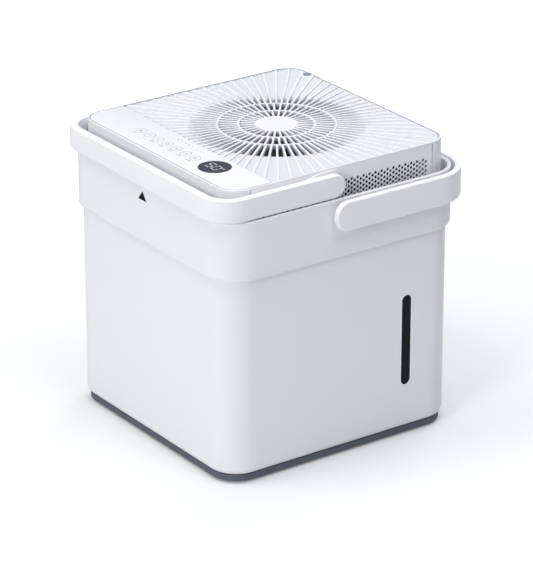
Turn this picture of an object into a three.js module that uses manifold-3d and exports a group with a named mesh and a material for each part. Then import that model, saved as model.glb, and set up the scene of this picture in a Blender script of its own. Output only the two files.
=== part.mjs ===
// A cube dehumidifier: a square water tank, with the machine nested inside it.
// Millimetres, +Z up. The origin is the middle of the footprint, on the floor.
// The front, with the touch panel, faces -Y. The water window faces +X.

import * as THREE from 'three';
import { mergeVertices } from 'three/addons/utils/BufferGeometryUtils.js';
import Module from 'manifold-3d';

const wasm = await Module();
wasm.setup();

// ---------------------------------------------------------------- driving dimensions

const gap = 0.3; // between two pieces that touch

// The tank.
const tank = { halfX: 176, halfY: 177.5, corner: 40, wall: 3, bottom: 12, collarZ: 274.7, top: 353 };
const collar = { out: 5.7, wall: 5.5, edge: 2.5 };
const plinth = { inset: 4, bottom: 2.5, wall: 12, floor: 3 };
const foot = { radius: 13, at: 140 };
const waterWindow = { y: 97.5, bottom: 72, top: 196, width: 14.8, rim: 2 };

// The machine that nests in the tank.
const unit = { halfX: 168.4, halfY: 168.1, corner: 29, wall: 2.5, bottom: 42, top: 390.3 };
const pan = { top: 48 };
const cover = { bottom: 378, skin: 3 };
const seam = { frontY: -137, rearY: 140 };
const touchPanel = { lineY: -103.7, thick: 3 };
const display = { x: 83, y: -131, radius: 20.8 };
const sensorCap = { x: -127.2, y: 160.5, radius: 5.3, height: 3 };

// The air outlet and its fan.
const outlet = {
  y: 20.8, radius: 110.5, ringRadii: [47.5, 74.4], discRadius: 27.1, ribs: 24,
  grilleBottom: 384, grilleTop: 389,
};
const fan = { bottom: 326, top: 364, radius: 94, hub: 33, blades: 7, shaft: 4 };
const deck = { bottom: 314, top: 317 };

// The lifting handle of the machine, hinged beside its grilles, lying over the tank's front rim.
const mainHandle = {
  outerX: 180.7, innerX: 170.7, frontY: -192, thick: 10.5, bottom: 353.7, top: 384, corner: 39,
  pivotY: -17.6, pin: 5,
};

// The tank's own handle, hinged on the collar, lying round the back.
const tankHandle = {
  outerX: 194, innerX: 186, backY: 196, thick: 8, bottom: 313, top: 351.7, corner: 58,
  pivotY: -6.2, pin: 6,
};

// The refrigerant circuit.
const compressor = { x: -75, y: 45, radius: 50, wall: 11, bottom: 74, top: 232 };
const accumulator = { x: -75, y: -30, radius: 20, bottom: 110, top: 205 };
const coil = { y0: -100, y1: 118, z0: 82, z1: 280, slits: 10 };
const evaporatorX = [118, 146];
const condenserX = [70, 106];
const pipeRadius = 4;

// ---------------------------------------------------------------- materials

const plastic = (name, color, roughness) =>
  new THREE.MeshStandardMaterial({ name, color, roughness, metalness: 0 });
const metal = (name, color, roughness) =>
  new THREE.MeshStandardMaterial({ name, color, roughness, metalness: 0.9 });

const white = plastic('white', 0xeef0f4, 0.42);
const satinWhite = plastic('satin_white', 0xf2f4f7, 0.5);
const greyBase = plastic('grey_base', 0x60656f, 0.6);
const darkPlastic = plastic('dark_plastic', 0x24272d, 0.55);
const windowGlass = plastic('window_glass', 0x17191e, 0.15);
const displayGlass = plastic('display_glass', 0x484c58, 0.2);
const rubber = plastic('rubber', 0x1c1c1e, 0.9);
const filterMesh = plastic('filter_mesh', 0x9aa3ad, 0.8);
const boardGreen = plastic('board_green', 0x1f5a36, 0.6);
const foam = plastic('float_foam', 0xe6e2d6, 0.8);
const copper = metal('copper', 0xb5693f, 0.35);
const aluminium = metal('aluminium', 0xb9bdc2, 0.4);
const blackSteel = metal('black_steel', 0x202226, 0.45);
const zincSteel = metal('zinc_steel', 0xa6a9ad, 0.4);

// ---------------------------------------------------------------- solids

function solidOf(geometry) {
  const bare = geometry.clone();
  bare.deleteAttribute('normal');
  bare.deleteAttribute('uv');
  const merged = mergeVertices(bare, 1e-4);
  const vertProperties = new Float32Array(merged.attributes.position.array);
  const triVerts = new Uint32Array(merged.index.array);
  return new wasm.Manifold(new wasm.Mesh({ numProp: 3, vertProperties, triVerts }));
}

function geometryOf(solid) {
  const mesh = solid.getMesh();
  const geometry = new THREE.BufferGeometry();
  geometry.setAttribute('position', new THREE.BufferAttribute(mesh.vertProperties, 3));
  geometry.setIndex(new THREE.BufferAttribute(mesh.triVerts, 1));
  geometry.computeVertexNormals();
  return geometry;
}

// A solid from a list of geometries joined, with a second list cut away.
function build(joined, removed = []) {
  let solid = solidOf(joined[0]);
  for (const geometry of joined.slice(1)) solid = solid.add(solidOf(geometry));
  for (const geometry of removed) solid = solid.subtract(solidOf(geometry));
  return geometryOf(solid);
}

function overlapOf(first, second) {
  return geometryOf(solidOf(first).intersect(solidOf(second)));
}

// Two places along an axis, the lower one first.
function between(a, b) {
  return [Math.min(a, b), Math.max(a, b)];
}

function box(x0, x1, y0, y1, z0, z1) {
  const geometry = new THREE.BoxGeometry(x1 - x0, y1 - y0, z1 - z0);
  return geometry.translate((x0 + x1) / 2, (y0 + y1) / 2, (z0 + z1) / 2);
}

// A cylinder along Z, from z0 to z1.
function post(x, y, radius, z0, z1, sides = 24) {
  const geometry = new THREE.CylinderGeometry(radius, radius, z1 - z0, sides);
  return geometry.rotateX(Math.PI / 2).translate(x, y, (z0 + z1) / 2);
}

// A cylinder along X, from x0 to x1.
function rodX(x0, x1, y, z, radius, sides = 24) {
  const geometry = new THREE.CylinderGeometry(radius, radius, Math.abs(x1 - x0), sides);
  return geometry.rotateZ(Math.PI / 2).translate((x0 + x1) / 2, y, z);
}

// A cylinder along Y, from y0 to y1.
function rodY(x, y0, y1, z, radius, sides = 24) {
  const geometry = new THREE.CylinderGeometry(radius, radius, y1 - y0, sides);
  return geometry.translate(x, (y0 + y1) / 2, z);
}

function roundedRect(halfX, halfY, radius) {
  const quarter = Math.PI / 2;
  const shape = new THREE.Shape();
  shape.absarc(halfX - radius, halfY - radius, radius, 0, quarter);
  shape.absarc(radius - halfX, halfY - radius, radius, quarter, 2 * quarter);
  shape.absarc(radius - halfX, radius - halfY, radius, 2 * quarter, 3 * quarter);
  shape.absarc(halfX - radius, radius - halfY, radius, 3 * quarter, 4 * quarter);
  shape.closePath();
  return shape;
}

// A shape raised from z0 to z1, with both end edges rounded by edge.
// Each arc of the shape gets twice as many sides as curveSegments.
function raise(shape, z0, z1, edge = 0, curveSegments = 3) {
  const geometry = new THREE.ExtrudeGeometry(shape, {
    depth: z1 - z0 - 2 * edge,
    bevelEnabled: edge > 0,
    bevelThickness: edge,
    bevelSize: edge,
    bevelOffset: -edge,
    bevelSegments: 2,
    curveSegments,
  });
  return geometry.translate(0, 0, z0 + edge);
}

// A turned solid: its profile runs as [radius, z] points, and closes on itself or on the axis.
function turned(profile, x, y, sides = 24) {
  const points = profile.map(([radius, z]) => new THREE.Vector2(radius, z));
  return new THREE.LatheGeometry(points, sides).rotateX(Math.PI / 2).translate(x, y, 0);
}

// A round tube through points, as a pipe is bent.
function pipe(points, radius) {
  const circle = new THREE.Shape().absarc(0, 0, radius, 0, 2 * Math.PI);
  const path = new THREE.CatmullRomCurve3(points.map((point) => new THREE.Vector3(...point)));
  path.curveType = 'centripetal';
  return new THREE.ExtrudeGeometry(circle, { steps: 18, curveSegments: 4, extrudePath: path });
}

const object = new THREE.Group();
object.name = 'dehumidifier';

function piece(name, geometry, material) {
  const mesh = new THREE.Mesh(geometry, material);
  mesh.name = name;
  object.add(mesh);
}

const sides = { left: -1, right: 1 };

// ---------------------------------------------------------------- the tank

const collarHalfX = tank.halfX + collar.out;
const collarHalfY = tank.halfY + collar.out;
const innerHalfX = tank.halfX - tank.wall;
const innerHalfY = tank.halfY - tank.wall;
const rimHalfX = collarHalfX - collar.wall;
const rimHalfY = collarHalfY - collar.wall;
const windowHeight = waterWindow.top - waterWindow.bottom;
const windowZ = (waterWindow.top + waterWindow.bottom) / 2;

// A stadium standing on end in the right-hand wall, from x0 to x1.
function windowSlot(x0, x1, grow) {
  const width = waterWindow.width / 2 + grow;
  const height = windowHeight / 2 + grow;
  const standing = roundedRect(width, height, width - 0.01);
  const slot = raise(standing, x0, x1);
  slot.rotateX(Math.PI / 2).rotateZ(Math.PI / 2);
  return slot.translate(0, waterWindow.y, windowZ);
}

function tankPin(side) {
  return { x0: side * (collarHalfX - collar.wall + gap), x1: side * (tankHandle.outerX - 2) };
}

function addTank() {
  const pivotZ = (tankHandle.bottom + tankHandle.top) / 2;
  const outer = raise(roundedRect(tank.halfX, tank.halfY, tank.corner), tank.bottom, 300, 8);
  const band = raise(
    roundedRect(collarHalfX, collarHalfY, tank.corner + collar.out),
    tank.collarZ, tank.top, collar.edge,
  );
  const well = raise(
    roundedRect(innerHalfX, innerHalfY, tank.corner - tank.wall), tank.bottom + tank.wall, 400,
  );
  const mouth = raise(
    roundedRect(rimHalfX, rimHalfY, tank.corner + collar.out - collar.wall),
    tank.collarZ + tank.wall, 400,
  );
  const pinHoles = Object.values(sides).map((side) =>
    rodX(side * (collarHalfX - collar.wall - 1), side * (collarHalfX + 1),
      tankHandle.pivotY, pivotZ, tankHandle.pin + gap));
  const slot = windowSlot(tank.halfX - tank.wall - 1, tank.halfX + 1, waterWindow.rim + gap);
  piece('tank_shell', build([outer, band], [well, mouth, slot, ...pinHoles]), white);

  for (const [name, side] of Object.entries(sides)) {
    const { x0, x1 } = tankPin(side);
    const shaft = rodX(x0, x1, tankHandle.pivotY, pivotZ, tankHandle.pin);
    piece(`tank_handle_pin_${name}`, shaft, zincSteel);
  }
}

// The dark tray under the tank, on four pads.
function addPlinth() {
  const halfX = tank.halfX - plinth.inset;
  const halfY = tank.halfY - plinth.inset;
  const corner = tank.corner - plinth.inset;
  const tray = raise(roundedRect(halfX, halfY, corner), plinth.bottom, tank.bottom - gap);
  const hollow = raise(
    roundedRect(halfX - plinth.wall, halfY - plinth.wall, corner - plinth.wall),
    plinth.bottom + plinth.floor, tank.bottom + 1,
  );
  piece('plinth', build([tray], [hollow]), greyBase);
  const corners = [[-1, -1], [1, -1], [1, 1], [-1, 1]];
  corners.forEach(([x, y], index) => {
    const pad = post(x * foot.at, y * foot.at, foot.radius, 0, plinth.bottom - gap, 16);
    piece(`foot_${index + 1}`, pad, rubber);
  });
}

function addWaterWindow() {
  const rim = build(
    [windowSlot(tank.halfX - tank.wall + gap, tank.halfX, waterWindow.rim)],
    [windowSlot(tank.halfX - tank.wall - 1, tank.halfX + 1, gap)],
  );
  piece('window_rim', rim, satinWhite);
  piece('water_window', windowSlot(tank.halfX - tank.wall + gap, tank.halfX - 1, 0), windowGlass);
}

// ---------------------------------------------------------------- the handles

// A handle bent to a U in plan, closed at -Y: its arms run back to rounded ends at the pivot.
function bail(spec, reach, pinDepth) {
  const height = spec.top - spec.bottom;
  const pivotZ = (spec.top + spec.bottom) / 2;
  const length = 2 * reach;
  const outer = raise(roundedRect(spec.outerX, length / 2, spec.corner), spec.bottom, spec.top, 2);
  const inner = raise(
    roundedRect(spec.innerX, length / 2 - spec.thick, spec.corner - spec.thick),
    spec.bottom - 1, spec.top + 1,
  );
  const sideView = new THREE.Shape();
  sideView.moveTo(-reach - 1, -height / 2);
  sideView.lineTo(0, -height / 2);
  sideView.absarc(0, 0, height / 2, -Math.PI / 2, Math.PI / 2);
  sideView.lineTo(-reach - 1, height / 2);
  sideView.closePath();
  const profile = raise(sideView, -spec.outerX - 1, spec.outerX + 1, 0, 5);
  profile.rotateX(Math.PI / 2).rotateZ(Math.PI / 2).translate(0, 0, pivotZ);
  const arms = overlapOf(build([outer], [inner]), profile);
  const pinHoles = Object.values(sides).map((side) =>
    rodX(side * (spec.innerX - 1), side * (spec.innerX + pinDepth), 0, pivotZ, spec.pin + gap));
  return build([arms], pinHoles);
}

function addHandles() {
  const front = bail(mainHandle, mainHandle.pivotY - mainHandle.frontY, 7);
  front.translate(0, mainHandle.pivotY, 0);
  piece('main_handle', front, satinWhite);

  const back = bail(tankHandle, tankHandle.backY - tankHandle.pivotY, 6.5);
  back.rotateZ(Math.PI).translate(0, tankHandle.pivotY, 0);
  piece('tank_handle', back, white);
}

// ---------------------------------------------------------------- the machine's casing

const unitInnerX = unit.halfX - unit.wall;
const unitInnerY = unit.halfY - unit.wall;
const handlePivotZ = (mainHandle.bottom + mainHandle.top) / 2;
const wallBottom = pan.top + gap;
const wallTop = cover.bottom - gap;
const drain = { x: 100, z: 60, radius: 7 };
const gland = { x: -100, z: 366, radius: 8 };

function addCasing() {
  const shell = build(
    [raise(roundedRect(unit.halfX, unit.halfY, unit.corner), wallBottom, wallTop)],
    [raise(roundedRect(unitInnerX, unitInnerY, unit.corner - unit.wall), 0, 400)],
  );
  const frontHalf = box(-200, 200, -200, seam.frontY - gap, 0, 400);
  const rearHalf = box(-200, 200, seam.rearY + gap, 200, 0, 400);
  piece('front_casing', overlapOf(shell, frontHalf), satinWhite);
  const wallHoles = [
    rodY(drain.x, unitInnerY - 1, unit.halfY + 1, drain.z, drain.radius + gap),
    rodY(gland.x, unitInnerY - 1, unit.halfY + 1, gland.z, gland.radius + gap),
  ];
  piece('rear_casing', build([overlapOf(shell, rearHalf)], wallHoles), satinWhite);
}

// A side panel of the machine, slotted all over for the air that the fan draws in.
function sideGrille(side) {
  const x = between(side * unitInnerX, side * unit.halfX);
  const through = [x[0] - 1, x[1] + 1];
  const panel = box(x[0], x[1], seam.frontY, seam.rearY, wallBottom, wallTop);
  const slots = [];
  const slotWidth = 8;
  for (let y = -120; y <= 122; y += 20) {
    slots.push(box(...through, y, y + slotWidth, 90, 340));
    const besidePivot = Math.abs(y + slotWidth / 2 - mainHandle.pivotY) < 24;
    if (!besidePivot) slots.push(box(...through, y, y + slotWidth, 346, 368));
  }
  const pinHole = rodX(...through, mainHandle.pivotY, handlePivotZ, mainHandle.pin + gap);
  return build([panel], [...slots, pinHole]);
}

function addSides() {
  for (const [name, side] of Object.entries(sides)) {
    piece(`side_grille_${name}`, sideGrille(side), satinWhite);

    const inner = unitInnerX - gap;
    const plate = box(
      ...between(side * (inner - 10), side * inner),
      mainHandle.pivotY - 20, mainHandle.pivotY + 20, 350, 376,
    );
    const pinHole = rodX(
      side * (inner - 7), side * (inner + 1),
      mainHandle.pivotY, handlePivotZ, mainHandle.pin + gap,
    );
    piece(`handle_mount_${name}`, build([plate], [pinHole]), darkPlastic);

    const pin = rodX(
      side * (inner - 6), side * (mainHandle.outerX - 4),
      mainHandle.pivotY, handlePivotZ, mainHandle.pin,
    );
    piece(`main_handle_pin_${name}`, pin, zincSteel);
    piece(`air_filter_${name}`, airFilter(side * (inner - 5), side * (inner - 1)), filterMesh);
  }
}

// A filter frame behind a side panel, with a grid of windows for its mesh.
function airFilter(xA, xB) {
  const [x0, x1] = between(xA, xB);
  const frame = box(x0, x1, -125, 128, 84, 300);
  const windows = [];
  const bar = 6;
  const width = (253 - 4 * bar) / 3;
  const height = (216 - 4 * bar) / 3;
  for (let column = 0; column < 3; column += 1) {
    for (let row = 0; row < 3; row += 1) {
      const y = -125 + bar + column * (width + bar);
      const z = 84 + bar + row * (height + bar);
      windows.push(box(x0 - 1, x1 + 1, y, y + width, z, z + height));
    }
  }
  return build([frame], windows);
}

function addBasePan() {
  const plate = raise(roundedRect(unit.halfX, unit.halfY, unit.corner), unit.bottom, pan.top);
  const stemHole = post(floatStem.x, floatStem.y, floatStem.radius + gap, 0, 100);
  piece('base_pan', build([plate], [stemHole]), satinWhite);
}

function addTop() {
  const outline = roundedRect(unit.halfX, unit.halfY, unit.corner);
  const block = raise(outline, cover.bottom, unit.top + 2, 2);
  const trimmed = overlapOf(block, box(-200, 200, -200, 200, cover.bottom, unit.top));
  const hollow = raise(
    roundedRect(unitInnerX - 2, unitInnerY - 2, unit.corner - 4), 300,
    unit.top - touchPanel.thick - cover.skin,
  );
  const outletHole = post(0, outlet.y, outlet.radius + 2 * gap, 300, 400, 48);
  const stripPocket = box(-200, 200, -200, touchPanel.lineY, unit.top - touchPanel.thick - gap, 400);
  const moduleHole = post(display.x, display.y, display.radius - 1, 300, 400);
  const capHole = post(sensorCap.x, sensorCap.y, sensorCap.radius + gap, 388, 400);
  piece(
    'top_cover',
    build([trimmed], [hollow, outletHole, stripPocket, moduleHole, capHole]), satinWhite,
  );

  const strip = overlapOf(
    raise(outline, unit.top - touchPanel.thick, unit.top),
    box(-200, 200, -200, touchPanel.lineY - gap, 300, 400),
  );
  const lensHole = post(display.x, display.y, display.radius + gap, 300, 400, 32);
  piece('control_panel', build([strip], [lensHole]), satinWhite);
  piece('display_lens', post(display.x, display.y, display.radius, unit.top - 2, unit.top - 0.2, 32),
    displayGlass);
  piece('display_module', post(display.x, display.y, 17, 382.6, unit.top - 2 - gap, 24), darkPlastic);
  piece('touch_board', box(-95, 110, -148, -114, 380.4, 382.2), boardGreen);
  const capTop = Math.min(388 + gap + sensorCap.height, unit.top);
  piece('sensor_cap', post(sensorCap.x, sensorCap.y, sensorCap.radius, 388 + gap, capTop, 16),
    greyBase);
}

// ---------------------------------------------------------------- the fan and its grille

// The round grille: a plate with an opening in each band between every two ribs.
function addOutletGrille() {
  const plate = new THREE.Shape().absarc(0, 0, outlet.radius, 0, 2 * Math.PI);
  const edges = [outlet.discRadius, ...outlet.ringRadii, outlet.radius - 3];
  const ringWidth = 2.4;
  const ribWidth = 1.8;
  for (let band = 0; band < edges.length - 1; band += 1) {
    const inner = edges[band] + (band ? ringWidth : 0);
    const outer = edges[band + 1];
    for (let index = 0; index < outlet.ribs; index += 1) {
      const from = (index / outlet.ribs) * 2 * Math.PI;
      const to = from + (2 * Math.PI) / outlet.ribs;
      const corner = (radius, angle, side) => {
        const turn = angle + side * (ribWidth / 2 / radius);
        return [radius * Math.cos(turn), radius * Math.sin(turn)];
      };
      const opening = new THREE.Path();
      opening.moveTo(...corner(inner, from, 1));
      opening.lineTo(...corner(outer, from, 1));
      opening.lineTo(...corner(outer, to, -1));
      opening.lineTo(...corner(inner, to, -1));
      opening.closePath();
      plate.holes.push(opening);
    }
  }
  const grille = raise(plate, outlet.grilleBottom, outlet.grilleTop, 0, outlet.ribs);
  piece('outlet_grille', grille.translate(0, outlet.y, 0), satinWhite);
}

function addFan() {
  const hubWall = [
    [fan.shaft + gap, fan.bottom], [fan.hub, fan.bottom], [fan.hub, fan.top - 6], [fan.hub - 8, fan.top],
    [fan.shaft + gap, fan.top], [fan.shaft + gap, fan.bottom],
  ];
  const parts = [turned(hubWall, 0, 0, 28)];
  for (let index = 0; index < fan.blades; index += 1) {
    const blade = box(fan.hub - 4, fan.radius, -1.2, 1.2, -23, 23).rotateX(0.95);
    blade.translate(0, 0, (fan.bottom + fan.top) / 2);
    parts.push(blade.rotateZ((index / fan.blades) * 2 * Math.PI));
  }
  piece('fan_impeller', build(parts).translate(0, outlet.y, 0), darkPlastic);

  const can = post(0, outlet.y, 40, 276, 312);
  const shaft = post(0, outlet.y, fan.shaft, 300, fan.top - 4, 16);
  const nose = post(0, outlet.y, 12, 308, 321);
  piece('fan_motor', build([can, nose, shaft]), blackSteel);

  const inner = fan.radius + 4;
  const duct = [
    [inner, deck.top + gap], [inner + 3, deck.top + gap], [inner + 3, 362], [outlet.radius + 3, 374],
    [outlet.radius + 3, 377], [outlet.radius, 377], [inner, 364], [inner, deck.top + gap],
  ];
  piece('fan_shroud', turned(duct, 0, outlet.y, 40), satinWhite);

  const plate = raise(roundedRect(160, 160, 24), deck.bottom, deck.top);
  piece('fan_deck', build([plate], [post(0, outlet.y, inner, 300, 330, 40)]), satinWhite);

  const armReach = inner + 12;
  const cross = [
    box(-armReach, armReach, -6, 6, 306, deck.bottom - gap),
    box(-6, 6, -armReach, armReach, 306, deck.bottom - gap),
  ];
  for (const arm of cross) arm.translate(0, outlet.y, 0);
  const collarRing = post(0, outlet.y, 47, 296, deck.bottom - gap, 28);
  const motorHole = post(0, outlet.y, 40 + gap, 280, 330);
  piece('motor_bracket', build([collarRing, ...cross], [motorHole]), zincSteel);
}

// ---------------------------------------------------------------- the refrigerant circuit

function addCompressor() {
  const { x, y, radius, wall, bottom, top } = compressor;
  const port = 5;
  const can = turned([
    [0, bottom], [radius * 0.8, bottom + 4], [radius, bottom + 14], [radius, top - 28],
    [radius * 0.85, top - 12], [radius * 0.5, top - 3], [port, top], [port, top - wall],
    [radius * 0.5, top - wall - 3], [radius - wall, top - 34], [radius - wall, bottom + wall + 8],
    [0, bottom + wall],
  ], x, y, 24);
  const lugs = [];
  const mounts = [];
  for (let index = 0; index < 3; index += 1) {
    const turn = (index / 3) * 2 * Math.PI + Math.PI / 6;
    const lug = box(0, radius + 14, -11, 11, bottom - 2, bottom + 2);
    lugs.push(lug.rotateZ(turn).translate(x, y, 0));
    mounts.push([x + Math.cos(turn) * (radius + 3), y + Math.sin(turn) * (radius + 3)]);
  }
  piece('compressor', build([can, ...lugs]), blackSteel);
  mounts.forEach(([mountX, mountY], index) => {
    const mount = post(mountX, mountY, 10, wallBottom, bottom - 2 - gap, 16);
    piece(`compressor_mount_${index + 1}`, mount, rubber);
  });

  const { radius: can2, bottom: low, top: high } = accumulator;
  const flask = turned([
    [0, low], [can2 * 0.6, low + 4], [can2, low + 16], [can2, high - 16], [can2 * 0.6, high - 4],
    [0, high],
  ], accumulator.x, accumulator.y, 18);
  piece('accumulator', flask, blackSteel);
}

// A finned coil: a slab slit into fins that its end rails hold.
function finnedCoil(x0, x1) {
  const slab = box(x0, x1, coil.y0, coil.y1, coil.z0, coil.z1);
  const slits = [];
  const rail = 8;
  const pitch = (coil.y1 - coil.y0 - rail) / coil.slits;
  for (let index = 0; index < coil.slits; index += 1) {
    const y = coil.y0 + rail + index * pitch;
    slits.push(box(x0 - 1, x1 + 1, y, y + pitch - rail, coil.z0 + 10, coil.z1 - 10));
  }
  return build([slab], slits);
}

function addCoils() {
  piece('evaporator', finnedCoil(...evaporatorX), aluminium);
  piece('condenser', finnedCoil(...condenserX), aluminium);
  const overTop = coil.z1 + 14;
  const middle = (range) => (range[0] + range[1]) / 2;
  const evaporatorMid = middle(evaporatorX);
  const condenserMid = middle(condenserX);
  piece('suction_pipe', pipe([
    [evaporatorMid, -90, coil.z1 + gap], [evaporatorMid, -90, overTop - 4],
    [evaporatorMid - 20, -94, overTop], [accumulator.x + 20, -94, overTop],
    [accumulator.x, -80, overTop - 6], [accumulator.x, accumulator.y - 4, 240],
    [accumulator.x, accumulator.y, accumulator.top + gap + 0.5],
  ], pipeRadius), copper);
  piece('discharge_pipe', pipe([
    [compressor.x, compressor.y, compressor.top + gap], [compressor.x, compressor.y, 244],
    [compressor.x + 20, compressor.y + 10, 264], [compressor.x + 75, 106, overTop + 4],
    [condenserMid - 24, 108, overTop + 6], [condenserMid, 108, overTop],
    [condenserMid, 108, coil.z1 + gap + 0.6],
  ], 3), copper);
  const coilEnd = coil.y1 + gap + 0.6;
  piece('capillary_pipe', pipe([
    [condenserMid, coilEnd, 100], [condenserMid, coilEnd + 7, 100],
    [condenserMid + 14, coilEnd + 14, 108], [evaporatorMid - 14, coilEnd + 14, 114],
    [evaporatorMid, coilEnd + 7, 120], [evaporatorMid, coilEnd, 120],
  ], 2), copper);
}

// ---------------------------------------------------------------- water, controls and cord

const floatStem = { x: -40, y: -110, radius: 3.5 };

function addWaterPath() {
  const tray = build(
    [box(60, 156, -108, 128, wallBottom, 74)],
    [box(63, 153, -105, 125, wallBottom + 3, 90), rodY(drain.x, 120, 140, drain.z, drain.radius - 2)],
  );
  piece('drip_tray', tray, darkPlastic);
  const spout = build(
    [rodY(drain.x, 128 + gap, unit.halfY, drain.z, drain.radius)],
    [rodY(drain.x, 120, 180, drain.z, drain.radius - 2)],
  );
  piece('drain_spout', spout, darkPlastic);
  const plug = build([
    rodY(drain.x, unit.halfY + gap, unit.halfY + 3.5, drain.z, drain.radius + 3),
    rodY(drain.x, unit.halfY - 6, unit.halfY + 2, drain.z, drain.radius - 2 - gap),
  ]);
  piece('drain_cap', plug, rubber);

  const stem = build([
    post(floatStem.x, floatStem.y, floatStem.radius, 18, pan.top + 8, 16),
    post(floatStem.x, floatStem.y, 8, 17.5, 19.5, 16),
    post(floatStem.x, floatStem.y, 9, pan.top + gap, pan.top + 8, 16),
  ]);
  piece('float_stem', stem, darkPlastic);
  const hole = floatStem.radius + gap;
  const ring = turned(
    [[hole, 20], [15, 20], [15, 33], [hole, 33], [hole, 20]], floatStem.x, floatStem.y, 20,
  );
  piece('float_ring', ring, foam);
}

function addControls() {
  const tray = build(
    [box(-120, 20, -160, -125, 110, 260)],
    [box(-117, 17, -170, -128, 113, 257)],
  );
  piece('control_box', tray, darkPlastic);
  piece('control_board', box(-112, 12, -150, -148.4, 118, 252), boardGreen);
  piece('run_capacitor', rodY(-85, -147.9, -129, 215, 16, 20), aluminium);
  piece('humidity_sensor', box(150, 156, -134, -118, 320, 344), boardGreen);
  const sleeve = build(
    [rodY(gland.x, 158, 172, gland.z, gland.radius), rodY(gland.x, unit.halfY + gap, 172, gland.z, 11)],
    [rodY(gland.x, 150, 180, gland.z, 3.6, 16)],
  );
  piece('cord_gland', sleeve, rubber);
}

addTank();
addPlinth();
addWaterWindow();
addHandles();
addCasing();
addSides();
addBasePan();
addTop();
addOutletGrille();
addFan();
addCompressor();
addCoils();
addWaterPath();
addControls();

export default object;
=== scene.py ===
import math

import bmesh
import bpy
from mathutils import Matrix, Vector


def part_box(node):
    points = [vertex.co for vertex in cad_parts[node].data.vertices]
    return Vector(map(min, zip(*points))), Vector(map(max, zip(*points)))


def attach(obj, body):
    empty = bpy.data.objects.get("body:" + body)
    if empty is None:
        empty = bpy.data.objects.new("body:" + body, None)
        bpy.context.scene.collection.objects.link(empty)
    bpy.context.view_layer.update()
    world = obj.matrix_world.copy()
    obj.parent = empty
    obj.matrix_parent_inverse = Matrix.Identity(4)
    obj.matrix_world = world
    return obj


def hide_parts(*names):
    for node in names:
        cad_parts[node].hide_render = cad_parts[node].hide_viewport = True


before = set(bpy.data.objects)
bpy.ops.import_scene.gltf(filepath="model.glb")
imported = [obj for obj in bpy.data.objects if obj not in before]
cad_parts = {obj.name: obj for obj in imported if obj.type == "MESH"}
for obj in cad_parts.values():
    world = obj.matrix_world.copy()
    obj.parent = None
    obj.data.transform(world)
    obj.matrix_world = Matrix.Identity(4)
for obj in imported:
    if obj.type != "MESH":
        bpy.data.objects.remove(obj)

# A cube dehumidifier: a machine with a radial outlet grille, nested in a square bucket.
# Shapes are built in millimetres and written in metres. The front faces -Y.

MM = 0.001
TURN = 2 * math.pi

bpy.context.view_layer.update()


def span(node):
    """Lowest and highest corner of a CAD node, in millimetres."""
    low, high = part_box(node)
    return [v / MM for v in low], [v / MM for v in high]


def middle_of(node):
    """The middle of a CAD node's box, in millimetres."""
    return [(low + high) / 2 for low, high in zip(*span(node))]


# ------------------------------------------------------------------ sizes, most taken from the frame

bucket_low, bucket_high = span("tank_shell")
COLLAR_OUT = 5.7
BUCKET_X, BUCKET_Y = bucket_high[0] - COLLAR_OUT, bucket_high[1] - COLLAR_OUT
BUCKET_CORNER = 40.0
BUCKET_BOTTOM, RIM_TOP = bucket_low[2], bucket_high[2]
COLLAR_BOTTOM = 274.7

pan_low, pan_high = span("base_pan")
UNIT_X, UNIT_Y = pan_high[0], pan_high[1]
UNIT_CORNER = 29.0
UNIT_WALL = 2.5
GRILLE_WALL = 0.9
UNIT_TOP = span("top_cover")[1][2]
WALL_BOTTOM = pan_high[2] + 0.3
WALL_TOP = UNIT_TOP - 2.0
FRONT_SEAM, REAR_SEAM = span("side_grille_right")[0][1], span("side_grille_right")[1][1]
SEAM_GAP = 0.8

OUTLET_Y = middle_of("outlet_grille")[1]
BELL_RADIUS = span("outlet_grille")[1][0] + 8.0
DUCT_RADIUS = span("fan_impeller")[1][0] + 4
PANEL_LINE = span("control_panel")[1][1]
BORDER = 2.4
DECK_SEAM = 1.0
FLOOR_DROP = 2.6
RIB_TOP = UNIT_TOP - 0.8
BLADE_DEEP = 8.6

lens_low, lens_high = span("display_lens")
DISPLAY_X, DISPLAY_Y, _ = middle_of("display_lens")
DISPLAY_RADIUS = (lens_high[0] - lens_low[0]) / 2

# ------------------------------------------------------------------ shader groups and finishes


def feed(tree, node, inputs):
    """Gives inputs a value, or a link from a socket, or from the first output of a node."""
    for label, value in inputs.items():
        if isinstance(value, bpy.types.Node):
            value = value.outputs[0]
        if isinstance(value, bpy.types.NodeSocket):
            tree.links.new(value, node.inputs[label])
        else:
            node.inputs[label].default_value = value
    return node


def add(tree, kind, inputs=None, **settings):
    """A new node with its settings and inputs."""
    node = tree.nodes.new(kind)
    for label, value in settings.items():
        setattr(node, label, value)
    return feed(tree, node, inputs or {})


def new_group(name, inputs, outputs):
    """An empty shader group with named number inputs and outputs."""
    group = bpy.data.node_groups.new(name, "ShaderNodeTree")
    for label, value in inputs:
        socket = group.interface.new_socket(label, in_out="INPUT", socket_type="NodeSocketFloat")
        socket.default_value = value
    for label in outputs:
        group.interface.new_socket(label, in_out="OUTPUT", socket_type="NodeSocketFloat")
    return group


def moulded_grain_group():
    """The fine sparkle of a moulded skin, and a slow tone that changes over a whole panel."""
    group = new_group(
        "moulded_grain", [("Grain", 1500.0), ("Tone Size", 9.0)], ["Height", "Tone"]
    )
    inside = add(group, "NodeGroupInput").outputs
    place = add(group, "ShaderNodeTexCoord").outputs["Object"]
    grain = add(group, "ShaderNodeTexNoise", {
        "Vector": place, "Scale": inside["Grain"], "Detail": 3.0, "Roughness": 0.6,
    })
    tone = add(group, "ShaderNodeTexNoise", {
        "Vector": place, "Scale": inside["Tone Size"], "Detail": 2.0,
    })
    add(group, "NodeGroupOutput", {"Height": grain, "Tone": tone})
    return group


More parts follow.
